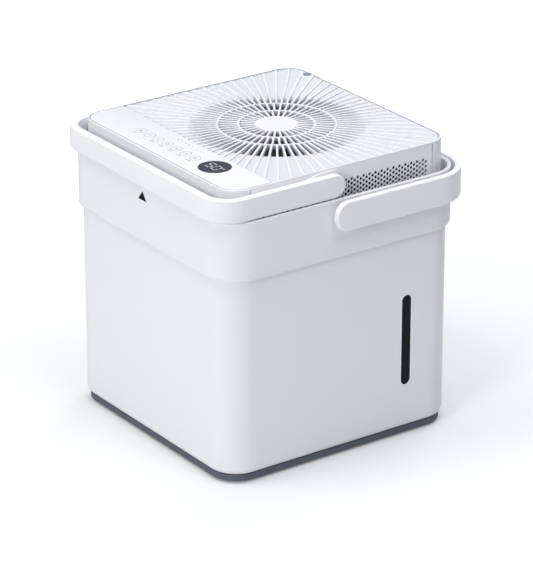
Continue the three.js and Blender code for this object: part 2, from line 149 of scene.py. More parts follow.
def brushed_group():
    """Long fine scratches along Z, for drawn and brushed metal."""
    group = new_group("brushed_lines", [("Fineness", 900.0)], ["Height", "Tone"])
    inside = add(group, "NodeGroupInput").outputs
    place = add(group, "ShaderNodeTexCoord").outputs["Object"]
    stretch = add(group, "ShaderNodeMapping", {"Vector": place, "Scale": (1.0, 1.0, 0.02)})
    lines = add(group, "ShaderNodeTexNoise", {
        "Vector": stretch, "Scale": inside["Fineness"], "Detail": 2.0,
    })
    blotch = add(group, "ShaderNodeTexNoise", {"Vector": place, "Scale": 22.0})
    add(group, "NodeGroupOutput", {"Height": lines, "Tone": blotch})
    return group


MOULDED = moulded_grain_group()
BRUSHED = brushed_group()


def finish(name, color, roughness, group=MOULDED, detail=1500.0, bump=0.12, vary=0.03,
           metallic=0.0, coat=0.0, specular=0.5):
    """A Principled material whose colour, roughness and bump all vary over the surface."""
    material = bpy.data.materials.new(name)
    material.use_nodes = True
    tree = material.node_tree
    skin = add(tree, "ShaderNodeGroup", {0: detail}, node_tree=group)
    shades = add(tree, "ShaderNodeMix", {
        "Factor": skin.outputs["Tone"],
        "A": (*[c * (1 - vary) for c in color], 1),
        "B": (*[min(1.0, c * (1 + vary)) for c in color], 1),
    }, data_type="RGBA")
    gloss = add(tree, "ShaderNodeMapRange", {
        "Value": skin.outputs["Tone"],
        "To Min": max(0.02, roughness - 0.05), "To Max": min(1.0, roughness + 0.05),
    })
    relief = add(tree, "ShaderNodeBump", {
        "Height": skin.outputs["Height"], "Strength": bump, "Distance": 0.0002,
    })
    feed(tree, tree.nodes["Principled BSDF"], {
        "Base Color": shades.outputs["Result"], "Roughness": gloss, "Normal": relief,
        "Metallic": metallic, "Specular IOR Level": specular,
        "Coat Weight": coat, "Coat Roughness": 0.08,
    })
    return material


def glowing(material, color, strength):
    """Adds a faint light of its own to a finish."""
    tree = material.node_tree
    feed(tree, tree.nodes["Principled BSDF"], {
        "Emission Color": (*color, 1), "Emission Strength": strength,
    })
    return material


BUCKET_WHITE = finish("bucket_white", (0.862, 0.865, 0.895), 0.38, detail=1300, bump=0.10, vary=0.008)
UNIT_WHITE = finish("unit_white", (0.88, 0.883, 0.908), 0.42, detail=1500, bump=0.08, vary=0.006)
HANDLE_WHITE = finish("handle_white", (0.89, 0.893, 0.922), 0.34, detail=1600, bump=0.07, vary=0.006)
DECK_WHITE = finish("deck_white", (0.765, 0.772, 0.795), 0.42, detail=1500, bump=0.08, vary=0.006)
# The grille's white darkens towards the feet of its ribs and blades with painted shade, set below.
GRILLE_WHITE_PAINTED_SHADE = finish("grille_white", (0.79, 0.797, 0.82), 0.42, detail=1500, bump=0.08,
                      vary=0.006)
# The recessed floor's white is darker than the ribs' white: painted shade in the recess between the
# ribs.
DECK_FLOOR_PAINTED_SHADE = finish("recess_white", (0.665, 0.672, 0.70), 0.5, detail=1500, bump=0.08, vary=0.006)
# The bezel is whiter than the bucket: its own white, with a painted highlight that makes a bright
# outline round the window.
BEZEL_WHITE_AND_HIGHLIGHT = finish("bezel_white", (0.95, 0.955, 0.965), 0.3, detail=900, bump=0.02, vary=0.004)
PANEL_WHITE = finish("panel_white", (0.80, 0.805, 0.815), 0.42, detail=900, bump=0.02, vary=0.004)
SEAM_GREY = finish("seam_grey", (0.24, 0.25, 0.285), 0.6, detail=1100, bump=0.1, vary=0.03,
                   specular=0.1)
# The foot's dark grey is partly its own colour and partly painted shadow under the bucket.
PLINTH_GREY_AND_SHADOW = finish("plinth_grey", (0.105, 0.118, 0.15), 0.6, detail=1100, bump=0.25, vary=0.05)
SMOKED = finish("smoked_window", (0.006, 0.0065, 0.009), 0.28, detail=500, bump=0.01, vary=0.05,
                specular=0.12)
DISPLAY_DARK = finish("display_dark", (0.055, 0.06, 0.078), 0.35, detail=700, bump=0.01,
                      vary=0.03, specular=0.15)
DIGIT_LIGHT = glowing(
    finish("digit_light", (0.60, 0.62, 0.66), 0.5, detail=900, bump=0.0, vary=0.01),
    (0.9, 0.93, 1.0), 0.05,
)
PRINT_GREY = finish("print_grey", (0.13, 0.14, 0.17), 0.6, detail=900, bump=0.05, vary=0.03,
                    specular=0.2)
PRINT_BLACK = finish("print_black", (0.008, 0.008, 0.010), 0.6, detail=900, bump=0.05, vary=0.03,
                     specular=0.05)
RING_GREY = finish("ring_grey", (0.20, 0.212, 0.25), 0.5, detail=900, bump=0.03, vary=0.02)
CAP_GREY = finish("cap_grey", (0.20, 0.215, 0.26), 0.5, detail=1200, bump=0.15, vary=0.05)
DARK_PLASTIC = finish("dark_plastic", (0.016, 0.017, 0.02), 0.5, detail=1200, bump=0.2, vary=0.08)
LINER_BLACK = finish("liner_black", (0.008, 0.008, 0.010), 0.85, detail=2200, bump=0.5, vary=0.1,
                     specular=0.2)
RUBBER = finish("rubber_black", (0.018, 0.018, 0.019), 0.85, detail=800, bump=0.3, vary=0.1)
FILTER_GREY = finish("filter_grey", (0.26, 0.31, 0.36), 0.8, detail=2400, bump=0.5, vary=0.06)
BOARD_GREEN = finish("board_green", (0.02, 0.10, 0.035), 0.4, detail=700, bump=0.2, vary=0.12)
FOAM = finish("float_foam", (0.75, 0.71, 0.62), 0.85, detail=900, bump=0.5, vary=0.04)
COPPER = finish("copper", (0.66, 0.30, 0.17), 0.32, BRUSHED, 700, 0.1, 0.10, metallic=1.0)
ALUMINIUM = finish("aluminium", (0.62, 0.64, 0.66), 0.38, BRUSHED, 900, 0.15, 0.05, metallic=1.0)
BLACK_STEEL = finish("black_steel", (0.015, 0.016, 0.018), 0.38, detail=600, bump=0.15, vary=0.10,
                     coat=0.3)
ZINC_STEEL = finish("zinc_steel", (0.50, 0.51, 0.54), 0.35, BRUSHED, 800, 0.12, 0.08, metallic=1.0)


def distance_ramp(tree, point, near, far, near_value=0.0, far_value=1.0):
    """A value that turns smoothly from one to another with the length of a vector."""
    length = add(tree, "ShaderNodeVectorMath", {0: point}, operation="LENGTH")
    return add(tree, "ShaderNodeMapRange", {
        "Value": length.outputs["Value"], "From Min": near, "From Max": far,
        "To Min": near_value, "To Max": far_value,
    }, interpolation_type="SMOOTHSTEP")


def painted_shade_fade(material, centre, measured, dark_at, light_at, color):
    """Paints shade into a finish: fades it to a dark colour by the distance from a place, along the
    axes measured.
    """
    tree = material.node_tree
    place = add(tree, "ShaderNodeTexCoord")
    offset = add(tree, "ShaderNodeMapping", {
        "Vector": place.outputs["Object"],
        "Location": [-c * m * MM for c, m in zip(centre, measured)], "Scale": measured,
    })
    base = tree.nodes["Principled BSDF"].inputs["Base Color"]
    mixed = add(tree, "ShaderNodeMix", {
        "Factor": distance_ramp(tree, offset, dark_at * MM, light_at * MM),
        "A": (*color, 1), "B": base.links[0].from_socket,
    }, data_type="RGBA")
    tree.links.new(mixed.outputs["Result"], base)


ROUND_OUTLET, UPRIGHT = (1.0, 1.0, 0.0), (0.0, 0.0, 1.0)
# Painted shade: the recessed floor darkens to near black down the outlet's throat.
painted_shade_fade(DECK_FLOOR_PAINTED_SHADE, (0, OUTLET_Y, 0), ROUND_OUTLET, DUCT_RADIUS - 1, DUCT_RADIUS + 9,
      (0.04, 0.043, 0.055))
# Painted shade: the grille's ribs, blades, rings and disc darken towards their feet.
painted_shade_fade(GRILLE_WHITE_PAINTED_SHADE, (0, 0, 0), UPRIGHT, RIB_TOP - BLADE_DEEP, RIB_TOP - 0.7, (0.12, 0.128, 0.16))


# ------------------------------------------------------------------ mesh tools


def dress(piece, material, body, replaced=()):
    """Gives a finished piece its material, body, and the CAD nodes that it stands for."""
    piece.data.materials.clear()
    piece.data.materials.append(material)
    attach(piece, body)
    if replaced:
        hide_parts(*replaced)
    return piece


def smooth(mesh, angle=32):
    """Shades a mesh smooth, apart from edges sharper than an angle in degrees."""
    for polygon in mesh.polygons:
        polygon.use_smooth = True
    mesh.set_sharp_from_angle(angle=math.radians(angle))


def solid(name, verts, faces, angle=32):
    """A closed mesh from millimetre corners, merged, with its faces turned outwards."""
    mesh = bpy.data.meshes.new(name)
    mesh.from_pydata([Vector(v) * MM for v in verts], [], faces)
    work = bmesh.new()
    work.from_mesh(mesh)
    bmesh.ops.remove_doubles(work, verts=work.verts, dist=1e-6)
    bmesh.ops.dissolve_degenerate(work, edges=work.edges, dist=1e-7)
    bmesh.ops.recalc_face_normals(work, faces=work.faces)
    work.to_mesh(mesh)
    work.free()
    smooth(mesh, angle)
    piece = bpy.data.objects.new(name, mesh)
    bpy.context.scene.collection.objects.link(piece)
    return piece


def settle(piece, angle=32):
    """Turns a piece's modifiers into its own plain mesh."""
    graph = bpy.context.evaluated_depsgraph_get()
    mesh = bpy.data.meshes.new_from_object(piece.evaluated_get(graph))
    piece.modifiers.clear()
    old = piece.data
    piece.data = mesh
    mesh.name = piece.name
    bpy.data.meshes.remove(old)
    smooth(mesh, angle)
    return piece


def carve(piece, *cutters, operation="DIFFERENCE"):
    """Cuts pieces away from a piece, or joins them to it, and removes them."""
    for index, cutter in enumerate(cutters):
        modifier = piece.modifiers.new(f"carve_{index}", "BOOLEAN")
        modifier.solver = "MANIFOLD"
        modifier.operation = operation
        modifier.object = cutter
    settle(piece)
    for cutter in cutters:
        bpy.data.objects.remove(cutter)
    return piece


def bevelled(piece, width, segments=3, angle=40):
    """Rounds a piece's sharp edges."""
    modifier = piece.modifiers.new("round_edges", "BEVEL")
    modifier.width = width * MM
    modifier.segments = segments
    modifier.limit_method = "ANGLE"
    modifier.angle_limit = math.radians(angle)
    modifier.harden_normals = False
    return settle(piece)


def soften(corners, steps=5, guard=0.5, closed=False):
    """A line of (x, y, radius) corners, each rounded to an arc with a guard point beside it."""
    count = len(corners)
    points = []
    for index, (x, y, radius) in enumerate(corners):
        here = Vector((x, y))
        if radius <= 0 or (not closed and index in (0, count - 1)):
            points.append(here)
            continue
        back = Vector(corners[index - 1][:2]) - here
        ahead = Vector(corners[(index + 1) % count][:2]) - here
        half = back.angle(ahead) / 2
        reach = radius / math.tan(half)
        centre = here + (back.normalized() + ahead.normalized()).normalized() * radius / math.sin(half)
        start = here + back.normalized() * reach - centre
        end = here + ahead.normalized() * reach - centre
        first = math.atan2(start.y, start.x)
        sweep = math.atan2(end.y, end.x) - first
        sweep = (sweep + math.pi) % TURN - math.pi
        if back.length > reach + 2 * guard:
            points.append(here + back.normalized() * (reach + guard))
        for step in range(steps + 1):
            turn = first + sweep * step / steps
            points.append(centre + Vector((math.cos(turn), math.sin(turn))) * radius)
        if ahead.length > reach + 2 * guard:
            points.append(here + ahead.normalized() * (reach + guard))
    return points


def rounded_square(half_x, half_y, radius, steps=14):
    """Corner points, anticlockwise from the middle of the +X side."""
    points = []
    for quarter, (sx, sy) in enumerate([(1, 1), (-1, 1), (-1, -1), (1, -1)]):
        for step in range(steps + 1):
            turn = (quarter + step / steps) * math.pi / 2
            points.append((
                sx * (half_x - radius) + radius * math.cos(turn),
                sy * (half_y - radius) + radius * math.sin(turn),
            ))
    return points


def skin_faces(count, levels, wrap=False, caps=True):
    """Quads between rings of count points, with the first and last ring capped or joined."""
    faces = []
    for level in range(levels if wrap else levels - 1):
        ahead = (level + 1) % levels
        for index in range(count):
            beside = (index + 1) % count
            faces.append((
                level * count + index, level * count + beside,
                ahead * count + beside, ahead * count + index,
            ))
    if caps and not wrap:
        faces.append(tuple(range(count)))
        faces.append(tuple(range((levels - 1) * count, levels * count)))
    return faces


def square_loft(name, half_x, half_y, radius, profile, wrap=False):
    """A rounded square drawn along a profile of (outward offset, z) points."""
    verts = []
    for offset, z in profile:
        ring = rounded_square(half_x + offset, half_y + offset, max(0.5, radius + offset))
        verts.extend((x, y, z) for x, y in ring)
    count = len(verts) // len(profile)
    return solid(name, verts, skin_faces(count, len(profile), wrap))


def circle(radius, sides=32):
    """Points round a circle, as pairs."""
    turns = [TURN * index / sides for index in range(sides)]
    return [(math.cos(turn) * radius, math.sin(turn) * radius) for turn in turns]


def lathe(name, profile, x, y, sides=64, wrap=False):
    """A profile of (radius, z) points turned about an upright axis."""
    verts = []
    for radius, z in profile:
        for index in range(sides):
            turn = TURN * index / sides
            verts.append((x + radius * math.cos(turn), y + radius * math.sin(turn), z))
    return solid(name, verts, skin_faces(sides, len(profile), wrap))


def plate(name, outline, z0, z1, angle=32):
    """A flat outline of (x, y) points raised from z0 to z1."""
    count = len(outline)
    verts = [(x, y, z0) for x, y in outline] + [(x, y, z1) for x, y in outline]
    return solid(name, verts, skin_faces(count, 2), angle)


def cylinder_x(name, x0, x1, y, z, radius):
    """A round bar along X, for cutting a pin's hole."""
    rim = circle(radius)
    verts = [(x, y + a, z + b) for x in (x0, x1) for a, b in rim]
    return solid(name, verts, skin_faces(len(rim), 2))


def block(name, low, high):
    """A box between two corners."""
    outline = [(low[0], low[1]), (high[0], low[1]), (high[0], high[1]), (low[0], high[1])]
    return plate(name, outline, low[2], high[2])


def joined(name, pieces):
    """One piece from several, which are removed."""
    work = bmesh.new()
    for piece in pieces:
        work.from_mesh(piece.data)
    mesh = bpy.data.meshes.new(name)
    work.to_mesh(mesh)
    work.free()
    for piece in pieces:
        bpy.data.objects.remove(piece)
    smooth(mesh)
    result = bpy.data.objects.new(name, mesh)
    bpy.context.scene.collection.objects.link(result)
    return result


# ------------------------------------------------------------------ geometry node trees


def node_tree(name, inputs):
    """A geometry node tree with a geometry input and output, and named inputs for its sizes."""
    tree = bpy.data.node_groups.new(name, "GeometryNodeTree")
    tree.interface.new_socket("Geometry", in_out="INPUT", socket_type="NodeSocketGeometry")
    for label, kind, value in inputs:
        socket = tree.interface.new_socket(label, in_out="INPUT", socket_type=f"NodeSocket{kind}")
        if value is not None:
            socket.default_value = value
    tree.interface.new_socket("Geometry", in_out="OUTPUT", socket_type="NodeSocketGeometry")
    return tree


def math_node(tree, operation, *values):
    """The result of a Math node on numbers, sockets or nodes."""
    return add(tree, "ShaderNodeMath", dict(enumerate(values)), operation=operation)


def close_tree(tree, geometry, material):
    """Ends a tree in Realize Instances and Set Material."""
    realize = add(tree, "GeometryNodeRealizeInstances", {0: geometry})
    paint = add(tree, "GeometryNodeSetMaterial", {"Geometry": realize, "Material": material})
    add(tree, "NodeGroupOutput", {0: paint})


def copies_round(tree, piece, value, first_angle=0.0):
    """Copies a piece round an upright axis, with the tree's own Count and Centre."""
    step = math_node(tree, "DIVIDE", TURN, value["Count"])
    index = add(tree, "GeometryNodeInputIndex")
    turn = math_node(tree, "ADD", math_node(tree, "MULTIPLY", index, step), first_angle)
    copies = add(tree, "GeometryNodeInstanceOnPoints", {
        "Points": add(tree, "GeometryNodePoints", {"Count": value["Count"]}),
        "Instance": piece,
        "Rotation": add(tree, "ShaderNodeCombineXYZ", {"Z": turn}),
    })
    return add(tree, "GeometryNodeTransform", {
        "Geometry": copies, "Translation": value["Centre"],
    })


def perforation_tree():
    """Punches a staggered field of round holes through a plate that faces along X."""
    tree = node_tree("perforation", [
        ("Columns", "Int", 56), ("Rows", "Int", 36), ("Column Pitch", "Float", 0.0046),
        ("Row Pitch", "Float", 0.0061), ("Hole Radius", "Float", 0.00195),
        ("Centre", "Vector", (0, 0, 0)), ("Material", "Material", None),
    ])
    value = add(tree, "NodeGroupInput").outputs
    columns, column_pitch = value["Columns"], value["Column Pitch"]
    rows, row_pitch = value["Rows"], value["Row Pitch"]
    width = math_node(tree, "MULTIPLY", math_node(tree, "SUBTRACT", columns, 1), column_pitch)
    height = math_node(tree, "MULTIPLY", math_node(tree, "SUBTRACT", rows, 1), row_pitch)
    grid = add(tree, "GeometryNodeMeshGrid", {
        "Size X": width, "Size Y": height, "Vertices X": columns, "Vertices Y": rows,
    })

    place = add(tree, "ShaderNodeSeparateXYZ", {0: add(tree, "GeometryNodeInputPosition")})
    from_edge = math_node(tree, "ADD", place.outputs["X"], math_node(tree, "MULTIPLY", width, 0.5))
    column = math_node(tree, "ROUND", math_node(tree, "DIVIDE", from_edge, column_pitch))
    odd = math_node(tree, "MODULO", column, 2)
    drop = math_node(tree, "MULTIPLY", odd, math_node(tree, "MULTIPLY", row_pitch, -0.5))
    stagger = add(tree, "GeometryNodeSetPosition", {
        "Geometry": grid, "Offset": add(tree, "ShaderNodeCombineXYZ", {"Y": drop}),
    })

    punch = add(tree, "GeometryNodeMeshCylinder", {
        "Vertices": 12, "Depth": 0.02, "Radius": value["Hole Radius"],
    })
    copies = add(tree, "GeometryNodeInstanceOnPoints", {"Points": stagger, "Instance": punch})
    stand = add(tree, "GeometryNodeTransform", {
        "Geometry": copies, "Translation": value["Centre"],
        "Rotation": (math.pi / 2, 0, math.pi / 2),
    })
    punches = add(tree, "GeometryNodeRealizeInstances", {0: stand})
    cut = add(tree, "GeometryNodeMeshBoolean", {
        "Mesh 1": value["Geometry"], "Mesh 2": punches,
    }, operation="DIFFERENCE", solver="MANIFOLD")
    close_tree(tree, cut, value["Material"])
    return tree


def radial_rib_tree():
    """Lays straight ribs round a centre, and trims them to the solid that comes in."""
    tree = node_tree("radial_ribs", [
        ("Count", "Int", 72), ("First Angle", "Float", 0.0), ("Inner Radius", "Float", 0.03),
        ("Outer Radius", "Float", 0.1), ("Width", "Float", 0.0026), ("Height", "Float", 0.008),
        ("Edge", "Float", 0.0004), ("Centre", "Vector", (0, 0, 0)), ("Material", "Material", None),
    ])
    value = add(tree, "NodeGroupInput").outputs
    length = add(tree, "GeometryNodeCurvePrimitiveLine", {
        "Start": add(tree, "ShaderNodeCombineXYZ", {"X": value["Inner Radius"]}),
        "End": add(tree, "ShaderNodeCombineXYZ", {"X": value["Outer Radius"]}),
    })
    section = add(tree, "GeometryNodeCurvePrimitiveQuadrilateral", {
        "Height": value["Height"], "Width": value["Width"],
    })
    eased = add(tree, "GeometryNodeFilletCurve", {
        "Curve": section, "Count": 3, "Radius": value["Edge"],
    }, mode="POLY")
    rib = add(tree, "GeometryNodeCurveToMesh", {
        "Curve": length, "Profile Curve": eased, "Fill Caps": True,
    })
    ribs = copies_round(tree, rib, value, value["First Angle"])
    trim = add(tree, "GeometryNodeMeshBoolean", {"Mesh 2": value["Geometry"]},
               operation="INTERSECT", solver="MANIFOLD")
    feed(tree, trim, {"Mesh 2": add(tree, "GeometryNodeRealizeInstances", {0: ribs})})
    close_tree(tree, trim, value["Material"])
    return tree


def ring_copies_tree():
    """Copies the piece that comes in round an upright axis."""
    tree = node_tree("ring_copies", [
        ("Count", "Int", 7), ("Centre", "Vector", (0, 0, 0)), ("Material", "Material", None),
    ])
    value = add(tree, "NodeGroupInput").outputs
    close_tree(tree, copies_round(tree, value["Geometry"], value), value["Material"])
    return tree


PERFORATION = perforation_tree()
RADIAL_RIBS = radial_rib_tree()
RING_COPIES = ring_copies_tree()


def grow(piece, tree, **sizes):
    """Runs a tree on a piece with the sizes given, and keeps the result as its mesh."""
    modifier = piece.modifiers.new(tree.name, "NODES")
    modifier.node_group = tree
    for item in tree.interface.items_tree:
        key = item.name.lower().replace(" ", "_")
        if item.in_out == "INPUT" and key in sizes:
            modifier[item.identifier] = sizes[key]
    return settle(piece)


# ------------------------------------------------------------------ the bucket


def stadium(half_width, half_height, steps=16):
    """An upright slot with round ends, as (y, z) points."""
    points = []
    straight = half_height - half_width
    for end in (1, -1):
        for step in range(steps + 1):
            turn = math.pi * step / steps
            points.append((end * half_width * math.cos(turn),
                           end * (straight + half_width * math.sin(turn))))
    return points


window_low, window_high = span("water_window")
_, WINDOW_Y, WINDOW_Z = middle_of("water_window")
WINDOW_HALF = (window_high[1] - window_low[1]) / 2
WINDOW_TALL = (window_high[2] - window_low[2]) / 2


def window_solid(name, profile, wrap=False):
    """A slot shape in the right-hand wall, drawn along (outward growth, x) points."""
    verts = []
    for growth, x in profile:
        ring = stadium(WINDOW_HALF + growth, WINDOW_TALL + growth)
        verts.extend((x, WINDOW_Y + y, WINDOW_Z + z) for y, z in ring)
    count = len(verts) // len(profile)
    return solid(name, verts, skin_faces(count, len(profile), wrap))


def make_bucket():
    """The bucket's shell with its collar and rim, and the water window in its right side."""
    profile = soften([
        (-14, BUCKET_BOTTOM, 0), (0, BUCKET_BOTTOM, 8), (0, COLLAR_BOTTOM, 0.8),
        (COLLAR_OUT, COLLAR_BOTTOM, 4.2), (COLLAR_OUT, RIM_TOP, 2.4), (0.2, RIM_TOP, 2.4),
        (0.2, COLLAR_BOTTOM + 3, 1.5), (-3, COLLAR_BOTTOM + 3, 1.2), (-3, BUCKET_BOTTOM + 3, 6),
        (-15, BUCKET_BOTTOM + 3, 0),
    ], steps=7)
    bucket = square_loft("bucket", BUCKET_X, BUCKET_Y, BUCKET_CORNER, profile)
    slot = window_solid("slot", [(1.5, BUCKET_X - 5), (1.5, BUCKET_X + 2)])
    carve(bucket, slot)
    dress(bucket, BUCKET_WHITE, "tank", ["tank_shell"])

    # The bezel's extra whiteness is a painted highlight round the window.
    rim = window_solid("window_bezel", soften([
        (0, BUCKET_X - 2.6, 0.2), (1.45, BUCKET_X - 2.6, 0.2), (1.45, BUCKET_X + 0.25, 0.25),
        (0, BUCKET_X + 0.25, 0.5),
    ], steps=3, closed=True), wrap=True)
    dress(rim, BEZEL_WHITE_AND_HIGHLIGHT, "tank", ["window_rim"])
    lens = window_solid("window_lens", soften([
        (-4, BUCKET_X - 2.5, 0), (-0.05, BUCKET_X - 2.5, 0.2), (-0.05, BUCKET_X - 0.7, 0.5),
        (-4, BUCKET_X - 0.7, 0),
    ], steps=3))
    dress(lens, SMOKED, "tank", ["water_window"])


def make_plinth():
    """The recessed foot under the bucket, in a dark grey that is partly its own colour and partly
    painted contact shadow under the body.
    """
    low, high = span("plinth")
    corner = BUCKET_CORNER - (BUCKET_X - high[0])
    profile = soften([
        (-12, low[2], 0), (0, low[2], 1.6), (0, high[2], 0.6), (-12, high[2], 0),
    ], steps=4)
    plinth = square_loft("plinth_tray", high[0], high[1], corner, profile)
    dress(plinth, PLINTH_GREY_AND_SHADOW, "tank", ["plinth"])


def make_align_mark():
    """The triangle on the collar's front that the machine's mark meets."""
    half_wide, tall, middle = 9.0, 12.0, 337.6
    face = -bucket_high[1]
    corners = [(-half_wide, middle - tall / 2), (half_wide, middle - tall / 2),
               (0, middle + tall / 2)]
    verts = [(x, face + 0.1, z) for x, z in corners] + [(x, face - 0.12, z) for x, z in corners]
    mark = solid("align_mark", verts, skin_faces(3, 2))
    dress(mark, PRINT_BLACK, "tank")


# ------------------------------------------------------------------ the handles


BEND_STEPS = 16
END_STEPS = 20
OUTER_STEPS, INNER_STEPS = 7, 4
INNER_EDGE = 0.8


def round_two_corners(half_x, half_y, corner, foot_y, away=1):
    """Stations (x, y, outward x, outward y, share of the turn) from foot to foot of a U."""
    stations = [(half_x, foot_y, 1.0, 0.0, 0.0)]
    for side in (1, -1):
        arc = []
        for step in range(BEND_STEPS + 1):
            turn = math.pi / 2 * step / BEND_STEPS
            nx, ny = side * math.cos(turn), away * math.sin(turn)
            x = side * (half_x - corner) + corner * nx
            y = away * (half_y - corner) + corner * ny
            arc.append((x, y, nx, ny, step / BEND_STEPS))
        stations.extend(arc if side == 1 else reversed(arc))
    stations.append((-half_x, foot_y, -1.0, 0.0, 0.0))
    return stations


def strap_outline(stations):
    """A strap's outline with round ends, as (station, how far up or down, how far past the end)."""
    turns = [math.pi * step / END_STEPS for step in range(1, END_STEPS)]
    outline = [(station, 1.0, 0.0) for station in stations]
    outline += [(stations[-1], math.cos(turn), math.sin(turn)) for turn in turns]
    outline += [(station, -1.0, 0.0) for station in reversed(stations)]
    outline += [(stations[0], -math.cos(turn), math.sin(turn)) for turn in turns]
    return outline


def strap_section(kind, part, half, depth, edge):
    """A point of a strap's section: its reach from the middle line, and its height outwards."""
    turn = part * math.pi / 2
    if kind == "outer":
        return half - edge + edge * math.sin(turn), depth - edge + edge * math.cos(turn)
    if kind == "inner":
        return (half - INNER_EDGE + INNER_EDGE * math.cos(turn),
                INNER_EDGE - INNER_EDGE * math.sin(turn))
    return 0.0, depth if kind == "face" else 0.0


def bail(name, node, away, thick, corner, top_edge, low_edge, pin):
    """A strap bent to a U, with round ends at its pivot. away is the side that its bar is on."""
    low, high = span(node)
    half = (high[2] - low[2]) / 2
    middle = (high[2] + low[2]) / 2
    inner_x = high[0] - thick[0]
    far = high[1] if away > 0 else -low[1]
    near = low[1] if away > 0 else -high[1]
    pivot = near + half
    stations = round_two_corners(inner_x, far - thick[1], corner - thick[1], pivot)
    outline = strap_outline(stations)
    levels = [("face", 0.0)] + [("outer", i / OUTER_STEPS) for i in range(OUTER_STEPS + 1)]
    levels += [("inner", i / INNER_STEPS) for i in range(INNER_STEPS + 1)] + [("back", 0.0)]
    verts = []
    for kind, part in levels:
        for (x, y, nx, ny, share), lift, run in outline:
            depth = thick[0] + (thick[1] - thick[0]) * share
            edge = low_edge + (top_edge - low_edge) * (lift + 1) / 2
            reach, out = strap_section(kind, part, half, depth, edge)
            verts.append((x + nx * out, (y + ny * out - run * reach) * away, middle + lift * reach))
    strap = solid(name, verts, skin_faces(len(outline), len(levels), caps=False))
    pins = [cylinder_x("pin_hole", side * (inner_x - 1), side * (inner_x + 7),
                       pivot * away, middle, pin + 0.3) for side in (1, -1)]
    return carve(strap, *pins)


def make_handles():
    """The machine's handle over the front rim, and the bucket's handle round the back."""
    front = bail("front_handle", "main_handle", -1, (10.0, 10.5), 39.0, 1.3, 4.0, 5.0)
    dress(front, HANDLE_WHITE, "main_handle", ["main_handle"])
    back = bail("bucket_handle", "tank_handle", 1, (8.0, 8.0), 58.0, 2.2, 2.8, 6.0)
    dress(back, HANDLE_WHITE, "tank_handle", ["tank_handle"])


# ------------------------------------------------------------------ the machine's walls


def wall_piece(name, stations, bottom, top, thickness, edge=0.3):
    """A wall that follows stations, with its edges eased."""
    section = soften([
        (0, bottom, edge), (0, top, edge), (-thickness, top, edge), (-thickness, bottom, edge),
    ], steps=2, closed=True)
    verts = []
    for x, y, nx, ny, _ in stations:
        verts.extend((x + nx * out, y + ny * out, z) for out, z in section)
    return solid(name, verts, skin_faces(len(section), len(stations)))


def casing_stations(end_y, away):
    """Round the machine's front (away -1) or back (away 1), between the side seams."""
    return round_two_corners(UNIT_X, UNIT_Y, UNIT_CORNER, end_y, away)


def hole_y(name, node, grow_by):
    """A round cutter through the back wall, sized from a CAD node that fits the hole."""
    low, high = span(node)
    x, _, z = middle_of(node)
    rim = circle((high[0] - low[0]) / 2 + grow_by)
    verts = [(x + a, y, z + b) for y in (UNIT_Y - 5, UNIT_Y + 5) for a, b in rim]
    return solid(name, verts, skin_faces(len(rim), 2))


def make_casing():
    """The machine's front and back walls, and the pan under them."""
    front = wall_piece("front_casing_skin", casing_stations(FRONT_SEAM - SEAM_GAP, -1),
                       WALL_BOTTOM, WALL_TOP, UNIT_WALL)
    dress(front, UNIT_WHITE, "machine", ["front_casing"])
    rear = wall_piece("rear_casing_skin", casing_stations(REAR_SEAM + SEAM_GAP, 1),
                      WALL_BOTTOM, WALL_TOP, UNIT_WALL)
    carve(rear, hole_y("spout_hole", "drain_spout", 0.3), hole_y("gland_hole", "cord_gland", -2.7))
    dress(rear, UNIT_WHITE, "machine", ["rear_casing"])
    pan = square_loft("base_pan_skin", UNIT_X, UNIT_Y, UNIT_CORNER, soften([
        (-12, pan_low[2], 0), (0, pan_low[2], 2.0), (0, pan_high[2], 0.4), (-12, pan_high[2], 0),
    ], steps=4))
    stem_x, stem_y, _ = middle_of("float_stem")
    carve(pan, lathe("stem_hole", [(3.8, 0), (3.8, 100)], stem_x, stem_y, 24))
    dress(pan, UNIT_WHITE, "machine", ["base_pan"])


HOLE_PITCH_Y, HOLE_PITCH_Z, HOLE_RADIUS = 4.6, 6.1, 2.08
HOLE_COLUMNS, HOLE_ROWS, HOLE_TOP = 56, 36, 369.4
HOLE_LAST_Y = 129.6
HOLE_FIRST_Y = HOLE_LAST_Y - (HOLE_COLUMNS - 1) * HOLE_PITCH_Y


def sheet_x(name, side, x0, x1, y0, y1, z0, z1):
    """An upright sheet in the machine's left (side -1) or right (side 1) wall."""
    near, far = sorted((side * x0, side * x1))
    return block(name, (near, y0, z0), (far, y1, z1))


